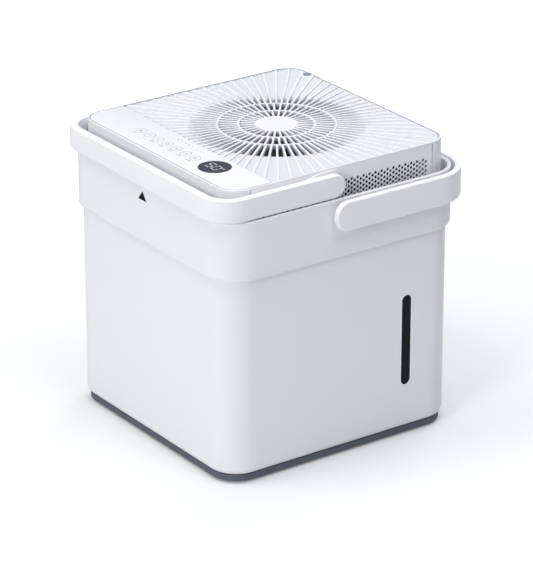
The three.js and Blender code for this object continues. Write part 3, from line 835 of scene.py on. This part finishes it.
def make_side(name, side):
    """A side panel with its perforations, and the dark sheets behind them."""
    inner = UNIT_X - GRILLE_WALL
    panel = sheet_x(f"side_panel_{name}", side, UNIT_X, inner, FRONT_SEAM, REAR_SEAM,
                    WALL_BOTTOM, WALL_TOP)
    bevelled(panel, 0.3, 2)
    middle_y = HOLE_FIRST_Y + (HOLE_COLUMNS - 1) * HOLE_PITCH_Y / 2
    middle_z = HOLE_TOP - (HOLE_ROWS - 1) * HOLE_PITCH_Z / 2
    grow(panel, PERFORATION, columns=HOLE_COLUMNS, rows=HOLE_ROWS,
         column_pitch=HOLE_PITCH_Y * MM, row_pitch=HOLE_PITCH_Z * MM, hole_radius=HOLE_RADIUS * MM,
         centre=(side * UNIT_X * MM, middle_y * MM, middle_z * MM), material=UNIT_WHITE)
    dress(panel, UNIT_WHITE, "machine", [f"side_grille_{name}"])

    blind_y = HOLE_LAST_Y - 2.5 * HOLE_PITCH_Y
    bottom, top = HOLE_TOP - HOLE_ROWS * HOLE_PITCH_Z, HOLE_TOP + 4
    liner = sheet_x(f"grille_liner_{name}", side, inner - 0.9, inner - 0.3,
                    HOLE_FIRST_Y - 4, blind_y, bottom, top)
    dress(liner, LINER_BLACK, "machine")
    backing = sheet_x(f"grille_backing_{name}", side, inner - 0.5, inner - 0.2,
                      blind_y + 0.2, HOLE_LAST_Y + 3.9, bottom, top)
    dress(backing, PRINT_GREY, "machine")


def make_seam_strips():
    """Dark strips behind the upright seams between the casings and the side panels."""
    seams = ((FRONT_SEAM - SEAM_GAP + 0.05, FRONT_SEAM - 0.05, 0.4),
             (REAR_SEAM + 0.05, REAR_SEAM + SEAM_GAP - 0.05, 1.3))
    strips = [sheet_x("strip", side, UNIT_X - 2.4, UNIT_X - depth, y0, y1, WALL_BOTTOM + 2, WALL_TOP)
              for side in (1, -1) for y0, y1, depth in seams]
    dress(joined("seam_strips", strips), LINER_BLACK, "machine")


def make_pivot_boss(name, side):
    """The raised pad on the machine's wall that carries the handle's pin."""
    low, high = span("main_handle")
    middle_z = (low[2] + high[2]) / 2
    pivot_y = high[1] - (high[2] - low[2]) / 2
    radius, steps = 19.2, 24
    turns = [math.pi * i / steps for i in range(steps + 1)]
    outline = [(pivot_y + radius * math.sin(turn), middle_z - radius * math.cos(turn))
               for turn in turns]
    outline += [(pivot_y - 16, middle_z + radius), (pivot_y - 22, middle_z + radius - 1.2),
                (pivot_y - 40, high[2] - 2), (pivot_y - 40, middle_z - radius)]
    verts = [(side * x, y, z) for x in (UNIT_X - 0.2, UNIT_X + 2.1) for y, z in outline]
    boss = solid(f"pivot_boss_{name}", verts, skin_faces(len(outline), 2))
    bevelled(boss, 0.6, 3, 50)
    hole = cylinder_x("boss_hole", side * (UNIT_X - 4), side * (UNIT_X + 4), pivot_y, middle_z, 5.3)
    carve(boss, hole)
    dress(boss, UNIT_WHITE, "machine")


# ------------------------------------------------------------------ the top deck


def reach_to_edge(turn, half_x, half_y, corner, front):
    """How far the deck's floor runs from the outlet's centre in a direction."""
    dx, dy = math.cos(turn), math.sin(turn)
    options = []
    if abs(dx) > 1e-9:
        options.append((half_x if dx > 0 else -half_x) / dx)
    if abs(dy) > 1e-9:
        options.append(((half_y if dy > 0 else front) - OUTLET_Y) / dy)
    run = min(o for o in options if o > 0)
    x, y = dx * run, OUTLET_Y + dy * run
    cx, cy = math.copysign(half_x - corner, x), half_y - corner
    if abs(x) > half_x - corner and y > cy:
        across, up = -cx, OUTLET_Y - cy
        b = dx * across + dy * up
        c = across * across + up * up - corner * corner
        run = -b + math.sqrt(max(0.0, b * b - c))
    return run


TURNS_ROUND = 288
BELL_STEPS = 10
BELL_DEPTH = 15.0
FLOOR_SKIN = 1.6
FINE_SIDES = 144
# cutters start and end well clear of the machine's top and sides
CUT_LOW, CUT_HIGH = 300, 500
PAST_SIDES = 200


def upright_cut(name, radius, x, y, sides):
    """A round cutter that stands through the top of the machine."""
    return lathe(name, [(radius, CUT_LOW), (radius, CUT_HIGH)], x, y, sides)


def deck_turns():
    """Directions round the outlet, with the floor's two front corners among them."""
    turns = [TURN * i / TURNS_ROUND for i in range(TURNS_ROUND)]
    for x in (-1, 1):
        corner = math.atan2(PANEL_LINE - OUTLET_Y, x * (UNIT_X - BORDER)) % TURN
        nearest = min(range(TURNS_ROUND), key=lambda i: abs(turns[i] - corner))
        turns[nearest] = corner
    return turns


def make_deck_floor():
    """The recessed floor round the outlet, which turns down into it like a trumpet's mouth."""
    floor = UNIT_TOP - FLOOR_DROP
    edge_x, edge_y = UNIT_X - BORDER + 0.4, UNIT_Y - BORDER + 0.4
    turns = deck_turns()
    edges = [reach_to_edge(turn, edge_x, edge_y, UNIT_CORNER - BORDER, PANEL_LINE + 0.3)
             for turn in turns]
    top = []
    for step in range(BELL_STEPS + 1):
        turn = math.pi / 2 * step / BELL_STEPS
        top.append((BELL_RADIUS - (BELL_RADIUS - DUCT_RADIUS) * math.sin(turn),
                    floor - BELL_DEPTH * (1 - math.cos(turn))))
    under = [(radius + FLOOR_SKIN, min(z, floor - FLOOR_SKIN)) for radius, z in reversed(top)]
    rings = [(BELL_RADIUS + 4, floor), (BELL_RADIUS + 1, floor), *top, *under]

    levels = [[(edge, z) for edge in edges] for z in (floor - FLOOR_SKIN, floor)]
    levels += [[(min(radius, edge - 0.5), z) for edge in edges] for radius, z in rings]
    verts = []
    for level in levels:
        verts.extend((run * math.cos(turn), OUTLET_Y + run * math.sin(turn), z)
                     for turn, (run, z) in zip(turns, level))
    piece = solid("deck_floor", verts, skin_faces(len(turns), len(levels), wrap=True))
    return dress(piece, DECK_FLOOR_PAINTED_SHADE, "machine", ["top_cover"])


def make_border():
    """The thin lip round the top, in one line with the walls below it."""
    profile = soften([
        (0, WALL_TOP + 0.05, 0.1), (0, UNIT_TOP, 1.7), (-BORDER, UNIT_TOP, 0.35),
        (-BORDER, WALL_TOP - 1.5, 0.3), (-BORDER + 0.6, WALL_TOP - 1.5, 0.1),
        (-BORDER + 0.6, WALL_TOP + 0.05, 0.1),
    ], steps=4, guard=0.05, closed=True)
    border = square_loft("top_border", UNIT_X, UNIT_Y, UNIT_CORNER, profile, wrap=True)
    return dress(border, DECK_WHITE, "machine")


def ring_inside_lip(name, low, high, cut_low, cut_high):
    """A square ring just inside the lip, without its part between two places along Y."""
    ring = square_loft(name, UNIT_X - BORDER, UNIT_Y - BORDER, UNIT_CORNER - BORDER, [
        (0.2, low), (0.2, high), (-DECK_SEAM - 0.1, high), (-DECK_SEAM - 0.1, low),
    ], wrap=True)
    carve(ring, block("cut", (-PAST_SIDES, cut_low, low - 5), (PAST_SIDES, cut_high, high + 5)))
    return ring


def make_deck_seam():
    """The dark line inside the lip: round the panel in front, and on a ledge behind the ribs."""
    bottom, ledge_top = UNIT_TOP - 3.6, RIB_TOP - 0.12
    front = ring_inside_lip("front", bottom, UNIT_TOP - 0.12, PANEL_LINE, PAST_SIDES)
    line = ring_inside_lip("line", ledge_top, RIB_TOP + 0.02, -PAST_SIDES, PANEL_LINE)
    dress(joined("deck_seam", [front, line]), SEAM_GREY, "machine")
    ledge = ring_inside_lip("rib_ledge", bottom, ledge_top, -PAST_SIDES, PANEL_LINE)
    dress(ledge, GRILLE_WHITE_PAINTED_SHADE, "machine")


def floor_outline(inset, front):
    """The outline of the ribbed floor: the machine's plan behind the panel line."""
    ring = rounded_square(UNIT_X - inset, UNIT_Y - inset, UNIT_CORNER - inset)
    back = [(x, y) for x, y in ring if y > front]
    left = [p for p in back if p[0] < 0]
    right = [p for p in back if p[0] >= 0]
    return [(UNIT_X - inset, front)] + right + left + [(inset - UNIT_X, front)]


RIB_DROP = 2.6
INNER_RING, OUTER_RING, RING_WIDTH = 47.5, 74.4, 2.6
DISC_RADIUS = 27.1
# each band of blades: count, turn of the first in pitches, inner and outer radius, width
BLADE_BANDS = {
    "outer": (72, 0.0, OUTER_RING + 1, BELL_RADIUS + 0.5, 2.7),
    "middle": (50, 0.5, INNER_RING + 1, OUTER_RING + 1, 2.6),
    "inner": (32, 0.5, 26, INNER_RING + 1, 2.5),
}


def grow_ribs(piece, count, phase, start, end, width, height, edge):
    """Fills a piece with ribs that end level with the others, between two radii."""
    grow(piece, RADIAL_RIBS, count=count, first_angle=phase * TURN / count,
         inner_radius=start * MM, outer_radius=end * MM, width=width * MM, height=height * MM,
         edge=edge * MM, centre=(0.0, OUTLET_Y * MM, (RIB_TOP - height / 2) * MM),
         material=GRILLE_WHITE_PAINTED_SHADE)
    return piece


def blade_band(name, count, phase, start, end, width):
    """One ring of deep blades over the outlet."""
    band = lathe(f"{name}_blades", [
        (start, CUT_LOW), (end, CUT_LOW), (end, CUT_HIGH), (start, CUT_HIGH),
    ], 0, OUTLET_Y, FINE_SIDES, wrap=True)
    return grow_ribs(band, count, phase, start - 3, end + 3, width, BLADE_DEEP, 0.45)


def grille_ring(radius):
    """A round hoop across the blades."""
    low, high = RIB_TOP - BLADE_DEEP, RIB_TOP + 0.05
    return lathe("ring", soften([
        (radius, low, 0.3), (radius + RING_WIDTH, low, 0.3), (radius + RING_WIDTH, high, 0.5),
        (radius, high, 0.5),
    ], steps=3, guard=0.1, closed=True), 0, OUTLET_Y, FINE_SIDES, wrap=True)


def round_pad(name, radius, low, rounding, steps, guard, x, y, sides):
    """A solid disc whose top is just above the ribs. rounding is for its low and high edge."""
    high = RIB_TOP + 0.05
    return lathe(name, soften([
        (0.01, low, 0), (radius, low, rounding[0]), (radius, high, rounding[1]), (0.01, high, 0),
    ], steps=steps, guard=guard), x, y, sides)


def make_ribs():
    """Radial ribs: low on the floor, deep blades over the outlet, with two rings and a disc."""
    grille = plate("radial_grille", floor_outline(BORDER + DECK_SEAM - 0.1, PANEL_LINE + 0.2),
                   UNIT_TOP - 5, UNIT_TOP + 1)
    carve(grille, upright_cut("outlet_hole", BELL_RADIUS - 0.6, 0, OUTLET_Y, FINE_SIDES))
    grow_ribs(grille, 72, 0.0, BELL_RADIUS - 3, 260, 3.3, RIB_DROP, 0.35)
    parts = [blade_band(name, *sizes) for name, sizes in BLADE_BANDS.items()]
    parts += [grille_ring(radius) for radius in (INNER_RING, OUTER_RING)]
    parts.append(round_pad("disc", DISC_RADIUS, RIB_TOP - BLADE_DEEP, (0.4, 0.9), 4, 0.2,
                           0, OUTLET_Y, 96))
    cap_x, cap_y, _ = middle_of("sensor_cap")
    parts.append(round_pad("cap_pad", 9.5, RIB_TOP - 3.2, (0.2, 0.5), 3, 0.5, cap_x, cap_y, 40))
    carve(grille, *parts, operation="UNION")
    return dress(grille, GRILLE_WHITE_PAINTED_SHADE, "machine", ["outlet_grille"])


# ------------------------------------------------------------------ the control panel


def make_panel():
    """The control strip in front of the ribs, and the round display in it."""
    inset = BORDER + DECK_SEAM
    ring = rounded_square(UNIT_X - inset, UNIT_Y - inset, UNIT_CORNER - inset)
    front = [(x, y) for x, y in ring if y < PANEL_LINE]
    outline = [(inset - UNIT_X, PANEL_LINE)] + front + [(UNIT_X - inset, PANEL_LINE)]
    panel = plate("control_panel_skin", outline, UNIT_TOP - 2.6, UNIT_TOP)
    bevelled(panel, 0.3, 3, 60)
    carve(panel, upright_cut("display_hole", DISPLAY_RADIUS + 0.35, DISPLAY_X, DISPLAY_Y, 96))
    dress(panel, PANEL_WHITE, "machine", ["control_panel"])

    lens = lathe("display_glass", soften([
        (0.01, UNIT_TOP - 2, 0), (DISPLAY_RADIUS, UNIT_TOP - 2, 0.2),
        (DISPLAY_RADIUS, UNIT_TOP - 0.12, 0.5), (0.01, UNIT_TOP - 0.12, 0),
    ], steps=4), DISPLAY_X, DISPLAY_Y, 96)
    dress(lens, DISPLAY_DARK, "machine", ["display_lens"])


def stroke(x0, y0, x1, y1, width, z0, z1):
    """A thin straight printed line."""
    along = Vector((x1 - x0, y1 - y0)).normalized()
    across = Vector((-along.y, along.x)) * width / 2
    outline = [(x0 + across.x, y0 + across.y), (x0 - across.x, y0 - across.y),
               (x1 - across.x, y1 - across.y), (x1 + across.x, y1 + across.y)]
    return plate("stroke", outline, z0, z1)


def arc_stroke(x, y, radius, width, z0, z1, start=0.0, sweep=TURN):
    """A thin printed arc, or a whole ring."""
    steps = max(8, int(48 * sweep / TURN))
    turns = [start + sweep * i / steps for i in range(steps + 1)]
    whole = sweep > TURN - 1e-6
    if whole:
        turns = turns[:-1]
    section = [(radius - width / 2, z0), (radius + width / 2, z0),
               (radius + width / 2, z1), (radius - width / 2, z1)]
    verts = []
    for turn in turns:
        verts.extend((x + r * math.cos(turn), y + r * math.sin(turn), z) for r, z in section)
    return solid("arc", verts, skin_faces(4, len(turns), wrap=whole))


PRINT_LOW, PRINT_HIGH = UNIT_TOP - 0.15, UNIT_TOP + 0.03


def print_line(x0, y0, x1, y1, width=0.6):
    """A straight line printed on the panel."""
    return stroke(x0, y0, x1, y1, width, PRINT_LOW, PRINT_HIGH)


def print_arc(x, y, radius, width=0.6, start=0.0, sweep=TURN):
    """An arc or a ring printed on the panel."""
    return arc_stroke(x, y, radius, width, PRINT_LOW, PRINT_HIGH, start, sweep)


def glyph_timer(x, y):
    """A clock face with two hands."""
    return [print_arc(x, y, 2.6), print_line(x, y, x, y + 1.7), print_line(x, y, x + 1.3, y)]


def glyph_drop(x, y):
    """A water drop."""
    return [print_arc(x, y - 0.6, 1.9, start=math.pi * 0.9, sweep=math.pi * 1.2),
            print_line(x - 1.7, y, x, y + 2.9), print_line(x + 1.7, y, x, y + 2.9)]


def glyph_fan(x, y):
    """Three curled blades round a dot."""
    blades = [print_arc(x + 1.5 * math.cos(t), y + 1.5 * math.sin(t), 1.2, 0.5, t - 2.2, 3.4)
              for t in (0.5, 0.5 + TURN / 3, 0.5 + 2 * TURN / 3)]
    return blades + [print_arc(x, y, 0.5, 0.6)]


def glyph_power(x, y):
    """A broken ring with an upright stroke."""
    return [print_arc(x, y, 2.3, start=math.pi * 0.72, sweep=TURN * 0.78),
            print_line(x, y + 0.3, x, y + 2.9)]


def glyph_arrow(x, y, way):
    """A chevron that points up (way 1) or down (way -1)."""
    return [print_line(x - 2.0, y - 1.0 * way, x, y + 1.2 * way),
            print_line(x + 2.0, y - 1.0 * way, x, y + 1.2 * way)]


def glyph_lock(x, y):
    """A padlock."""
    return [print_line(x - 1.7, y - 1.2, x + 1.7, y - 1.2, 2.2),
            print_arc(x, y + 0.1, 1.3, start=0.0, sweep=math.pi)]


TOUCH_X = [-75.2, -55.3, -36.4, -16.6, 3.9, 24.3, 44.9]
TOUCH_Y, LAMP_Y = OUTLET_Y - 155.0, OUTLET_Y - 135.0
TOUCH_RADIUS = 7.2
TOUCH_SIGNS = [glyph_lock, lambda x, y: glyph_arrow(x, y, 1), lambda x, y: glyph_arrow(x, y, -1),
               glyph_timer, glyph_fan, glyph_drop, glyph_power]
BARRED_KEYS = (0, 2, 3, 4, 5, 6)


def make_prints():
    """Seven touch rings with plain signs in them, bars under them, and a row of small lamps."""
    rings = [print_arc(x, TOUCH_Y, TOUCH_RADIUS) for x in TOUCH_X]
    dress(joined("touch_rings", rings), RING_GREY, "machine")
    signs = [part for x, sign in zip(TOUCH_X, TOUCH_SIGNS) for part in sign(x, TOUCH_Y)]
    dress(joined("touch_signs", signs), PRINT_GREY, "machine")
    bars = []
    for index in BARRED_KEYS:
        left, low = TOUCH_X[index] - 4.5, TOUCH_Y - 10.6
        for start, end in ((0, 2.2), (2.9, 5.6), (6.3, 9.0)):
            bars.append(print_line(left + start, low, left + end, low, 1.1))
    dress(joined("touch_bars", bars), RING_GREY, "machine")
    dashes = [-21.5 + index * 8.0 for index in range(5)]
    lamps = [print_line(x - 1.6, LAMP_Y, x + 1.6, LAMP_Y, 0.9) for x in dashes]
    lamps += [print_arc(20.0 + index * 6.5, LAMP_Y, 0.35) for index in range(3)]
    dress(joined("lamp_row", lamps), PRINT_GREY, "machine")


SEGMENTS = {"0": "abcdef", "5": "acdfg"}
SEGMENT_ENDS = {
    "a": (0, 1, 1, 1), "b": (1, 1, 1, 0.5), "c": (1, 0.5, 1, 0), "d": (0, 0, 1, 0),
    "e": (0, 0.5, 0, 0), "f": (0, 1, 0, 0.5), "g": (0, 0.5, 1, 0.5),
}
FIGURE_HIGH, FIGURE_WIDE, FIGURE_PITCH = 12.6, 9.0, 12.6


def make_digits():
    """A plain two-figure reading made of seven-segment strokes, and a small ring after it."""
    low_z, high_z = UNIT_TOP - 0.2, UNIT_TOP - 0.02
    bottom = DISPLAY_Y - FIGURE_HIGH / 2
    parts = []
    for place, figure in enumerate("50"):
        left = DISPLAY_X - 13.0 + place * FIGURE_PITCH
        for letter in SEGMENTS[figure]:
            ax, ay, bx, by = SEGMENT_ENDS[letter]
            start = Vector((left + ax * FIGURE_WIDE, bottom + ay * FIGURE_HIGH))
            end = Vector((left + bx * FIGURE_WIDE, bottom + by * FIGURE_HIGH))
            ease = (end - start).normalized() * 0.9
            parts.append(stroke(*(start + ease), *(end - ease), 1.25, low_z, high_z))
    parts.append(arc_stroke(DISPLAY_X + 12.6, DISPLAY_Y + 4.6, 1.1, 0.8, low_z, high_z))
    dress(joined("display_figures", parts), DIGIT_LIGHT, "machine")


def make_sensor_cap():
    """The small round cap behind the ribs, with a dished top."""
    low, high = span("sensor_cap")
    x, y, _ = middle_of("sensor_cap")
    radius = (high[0] - low[0]) / 2
    cap = lathe("sensor_button", soften([
        (0.01, low[2], 0), (radius, low[2], 0.2), (radius, UNIT_TOP + 0.4, 0.7),
        (radius - 1.6, UNIT_TOP + 0.4, 0.4), (radius - 2.2, UNIT_TOP - 0.1, 0.3),
        (0.01, UNIT_TOP - 0.1, 0),
    ], steps=4, guard=0.1), x, y, 40)
    dress(cap, CAP_GREY, "machine", ["sensor_cap"])


# ------------------------------------------------------------------ the fan


HUB_RADIUS = 33.0
BLADE_COUNT, BLADE_STATIONS, BLADE_AROUND = 7, 9, 8


def blade_ring(share, low, high):
    """A closed section of a fan blade, share of the way from the hub to the tip."""
    root = HUB_RADIUS - 3
    radius = root + (DUCT_RADIUS - 5 - root) * share
    pitch = math.radians(62 - 26 * share)
    chord = 40 + 22 * share
    ring = []
    for corner in range(BLADE_AROUND):
        turn = TURN * corner / BLADE_AROUND
        along = chord / 2 * math.cos(turn)
        across = 1.3 * math.sin(turn) + 3.0 * (1 - (2 * along / chord) ** 2)
        y = along * math.sin(pitch) - across * math.cos(pitch)
        z = along * math.cos(pitch) * 0.75 + across * math.sin(pitch)
        sweep = 0.25 * share + y / radius
        z = max(low, min(high, (low + high) / 2 + z))
        ring.append((radius * math.cos(sweep), radius * math.sin(sweep), z))
    return ring


def make_fan():
    """The hub and its seven swept blades."""
    low, high = span("fan_impeller")
    hub = lathe("fan_hub", soften([
        (4.4, low[2], 0.3), (HUB_RADIUS, low[2], 1.5), (HUB_RADIUS, high[2] - 6, 5),
        (HUB_RADIUS - 10, high[2], 5), (4.4, high[2], 0.3),
    ], steps=5, closed=True), 0, OUTLET_Y, 64, wrap=True)
    verts = []
    for station in range(BLADE_STATIONS):
        verts.extend(blade_ring(station / (BLADE_STATIONS - 1), low[2] + 2, high[2] - 2))
    blade = solid("fan_blades", verts, skin_faces(BLADE_AROUND, BLADE_STATIONS))
    grow(blade, RING_COPIES, count=BLADE_COUNT, centre=(0, OUTLET_Y * MM, 0),
         material=DARK_PLASTIC)
    fan = joined("fan_wheel", [hub, blade])
    dress(fan, DARK_PLASTIC, "fan", ["fan_impeller"])


def make_shroud():
    """The round duct that the fan turns in."""
    low, high = span("fan_shroud")
    neck, flange, top = 366, 370, 373
    shroud = lathe("fan_duct", soften([
        (DUCT_RADIUS, low[2], 0.3), (DUCT_RADIUS + 3, low[2], 0.3), (DUCT_RADIUS + 3, neck, 3),
        (high[0], flange, 1), (high[0], top, 0.5), (DUCT_RADIUS, top, 1.2),
    ], steps=4, closed=True), 0, OUTLET_Y, 96, wrap=True)
    dress(shroud, DARK_PLASTIC, "machine", ["fan_shroud"])


# ------------------------------------------------------------------ materials of the CAD nodes kept

KEPT = {
    RUBBER: ["foot_1", "foot_2", "foot_3", "foot_4", "compressor_mount_1", "compressor_mount_2",
             "compressor_mount_3", "drain_cap", "cord_gland"],
    ZINC_STEEL: ["tank_handle_pin_left", "tank_handle_pin_right", "main_handle_pin_left",
                 "main_handle_pin_right", "motor_bracket"],
    DARK_PLASTIC: ["handle_mount_left", "handle_mount_right", "display_module", "drip_tray",
                   "drain_spout", "float_stem", "control_box", "fan_deck"],
    FILTER_GREY: ["air_filter_left", "air_filter_right"],
    BOARD_GREEN: ["touch_board", "control_board", "humidity_sensor"],
    BLACK_STEEL: ["fan_motor", "compressor", "accumulator"],
    ALUMINIUM: ["evaporator", "condenser", "run_capacitor"],
    COPPER: ["suction_pipe", "discharge_pipe", "capillary_pipe"],
    FOAM: ["float_ring"],
}


def paint_kept_nodes():
    """Gives the CAD nodes that stay in view their materials."""
    for material, names in KEPT.items():
        for name in names:
            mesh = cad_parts[name].data
            mesh.materials.clear()
            mesh.materials.append(material)


# ------------------------------------------------------------------ floor, light and camera

FLOOR_REACH = 8.0
FLOOR_PAPER = 0.78
# the paper's own light, and the distances in metres from the object that it runs between
GLOW_NEAR, GLOW_FAR = 0.15, 1.0
GLOW_FROM, GLOW_TO = 0.30, 2.2
SKY, SKY_COLOR = 0.14, (0.88, 0.925, 1.0)
# azimuth 0 is straight in front and 90 to the right; then elevation, distance, size, power, colour
SOFT_BOXES = {
    "top_box": (0, 89, 2.6, (2.2, 2.2), 43.0, (1.0, 1.0, 1.0)),
    "right_high_box": (95, 60, 3.6, (1.3, 1.1), 25.0, (0.83, 0.885, 1.0)),
    "front_high_box": (-24, 58, 3.6, (1.3, 1.1), 29.0, (1.0, 1.0, 0.99)),
    "key_box": (23, 20, 4.0, (1.2, 1.4), 59.0, (1.0, 0.995, 0.98)),
    "back_box": (205, 25, 3.6, (2.0, 1.6), 40.0, (0.94, 0.97, 1.0)),
}


def in_scene(name, data):
    """A new object in the scene."""
    thing = bpy.data.objects.new(name, data)
    bpy.context.scene.collection.objects.link(thing)
    return thing


def direction(azimuth, elevation):
    """The way from the object to a place, by angles in radians."""
    return Vector((math.sin(azimuth) * math.cos(elevation),
                   -math.cos(azimuth) * math.cos(elevation), math.sin(elevation)))


def make_stage():
    """A sheet of pale paper with a light of its own that only the camera sees."""
    mesh = bpy.data.meshes.new("studio_floor")
    corners = ((-1, -1), (1, -1), (1, 1), (-1, 1))
    mesh.from_pydata([(x * FLOOR_REACH, y * FLOOR_REACH, 0) for x, y in corners], [],
                     [(0, 1, 2, 3)])
    paper = finish("studio_paper", (FLOOR_PAPER,) * 3, 0.9, detail=60, bump=0.0, vary=0.0,
                   specular=0.0)
    tree = paper.node_tree
    place = add(tree, "ShaderNodeTexCoord")
    glow = distance_ramp(tree, place.outputs["Object"], GLOW_FROM, GLOW_TO, GLOW_NEAR, GLOW_FAR)
    ray = add(tree, "ShaderNodeLightPath")
    feed(tree, tree.nodes["Principled BSDF"], {
        "Emission Color": (1.0, 1.0, 1.0, 1),
        "Emission Strength": math_node(tree, "MULTIPLY", ray.outputs["Is Camera Ray"], glow),
    })
    mesh.materials.append(paper)
    in_scene("studio_floor", mesh)


def soft_light(name, azimuth, elevation, distance, size, power, color):
    """A soft box that faces the middle of the object."""
    toward = direction(math.radians(azimuth), math.radians(elevation))
    light = bpy.data.lights.new(name, "AREA")
    light.shape = "RECTANGLE"
    light.size, light.size_y = size
    light.energy = power
    light.color = color
    lamp = in_scene(name, light)
    lamp.location = Vector((0, 0, 0.2)) + toward * distance
    lamp.rotation_mode = "QUATERNION"
    lamp.rotation_quaternion = toward.to_track_quat("Z", "Y")


def make_lights():
    """The soft boxes, and a weak sky that the camera sees as plain white."""
    world = bpy.data.worlds.new("studio")
    world.use_nodes = True
    tree = world.node_tree
    sky = feed(tree, tree.nodes["Background"], {"Color": (*SKY_COLOR, 1), "Strength": SKY})
    backdrop = add(tree, "ShaderNodeBackground", {"Color": (1.0, 1.0, 1.0, 1), "Strength": 1.0})
    ray = add(tree, "ShaderNodeLightPath")
    chosen = add(tree, "ShaderNodeMixShader", {
        "Fac": ray.outputs["Is Camera Ray"], 1: sky, 2: backdrop,
    })
    feed(tree, tree.nodes["World Output"], {"Surface": chosen})
    bpy.context.scene.world = world
    for name, settings in SOFT_BOXES.items():
        soft_light(name, *settings)


# the camera's angles in degrees, its aim and distance in half-widths of the bucket, and its lens
EYE_AZIMUTH, EYE_ELEVATION = 54.73, 23.10
AIM_ACROSS, AIM_UP, EYE_AWAY = 0.0355, 0.8987, 24.559
LENS_LENGTH, LENS_SHIFT = 210.9, -0.0029


def make_camera():
    """The eye stands off the front right corner, a little above the top."""
    unit = BUCKET_X * MM
    azimuth, elevation = math.radians(EYE_AZIMUTH), math.radians(EYE_ELEVATION)
    right = Vector((math.cos(azimuth), math.sin(azimuth), 0))
    back = direction(azimuth, elevation)
    aim = right * AIM_ACROSS * unit + Vector((0, 0, AIM_UP * unit + BUCKET_BOTTOM * MM))
    camera = bpy.data.cameras.new("camera")
    camera.lens = LENS_LENGTH
    camera.shift_x = LENS_SHIFT
    camera.clip_start, camera.clip_end = 0.1, 50
    eye = in_scene("camera", camera)
    eye.location = aim + back * EYE_AWAY * unit
    eye.rotation_mode = "QUATERNION"
    eye.rotation_quaternion = back.to_track_quat("Z", "Y")
    bpy.context.scene.camera = eye
    bpy.context.scene.view_settings.view_transform = "Standard"


make_camera()
make_stage()
make_lights()
make_bucket()
make_plinth()
make_align_mark()
make_handles()
make_casing()
for side_name, side_sign in (("left", -1), ("right", 1)):
    make_side(side_name, side_sign)
    make_pivot_boss(side_name, side_sign)
make_seam_strips()
make_deck_floor()
make_border()
make_deck_seam()
make_ribs()
make_panel()
make_prints()
make_digits()
make_sensor_cap()
make_fan()
make_shroud()
paint_kept_nodes()
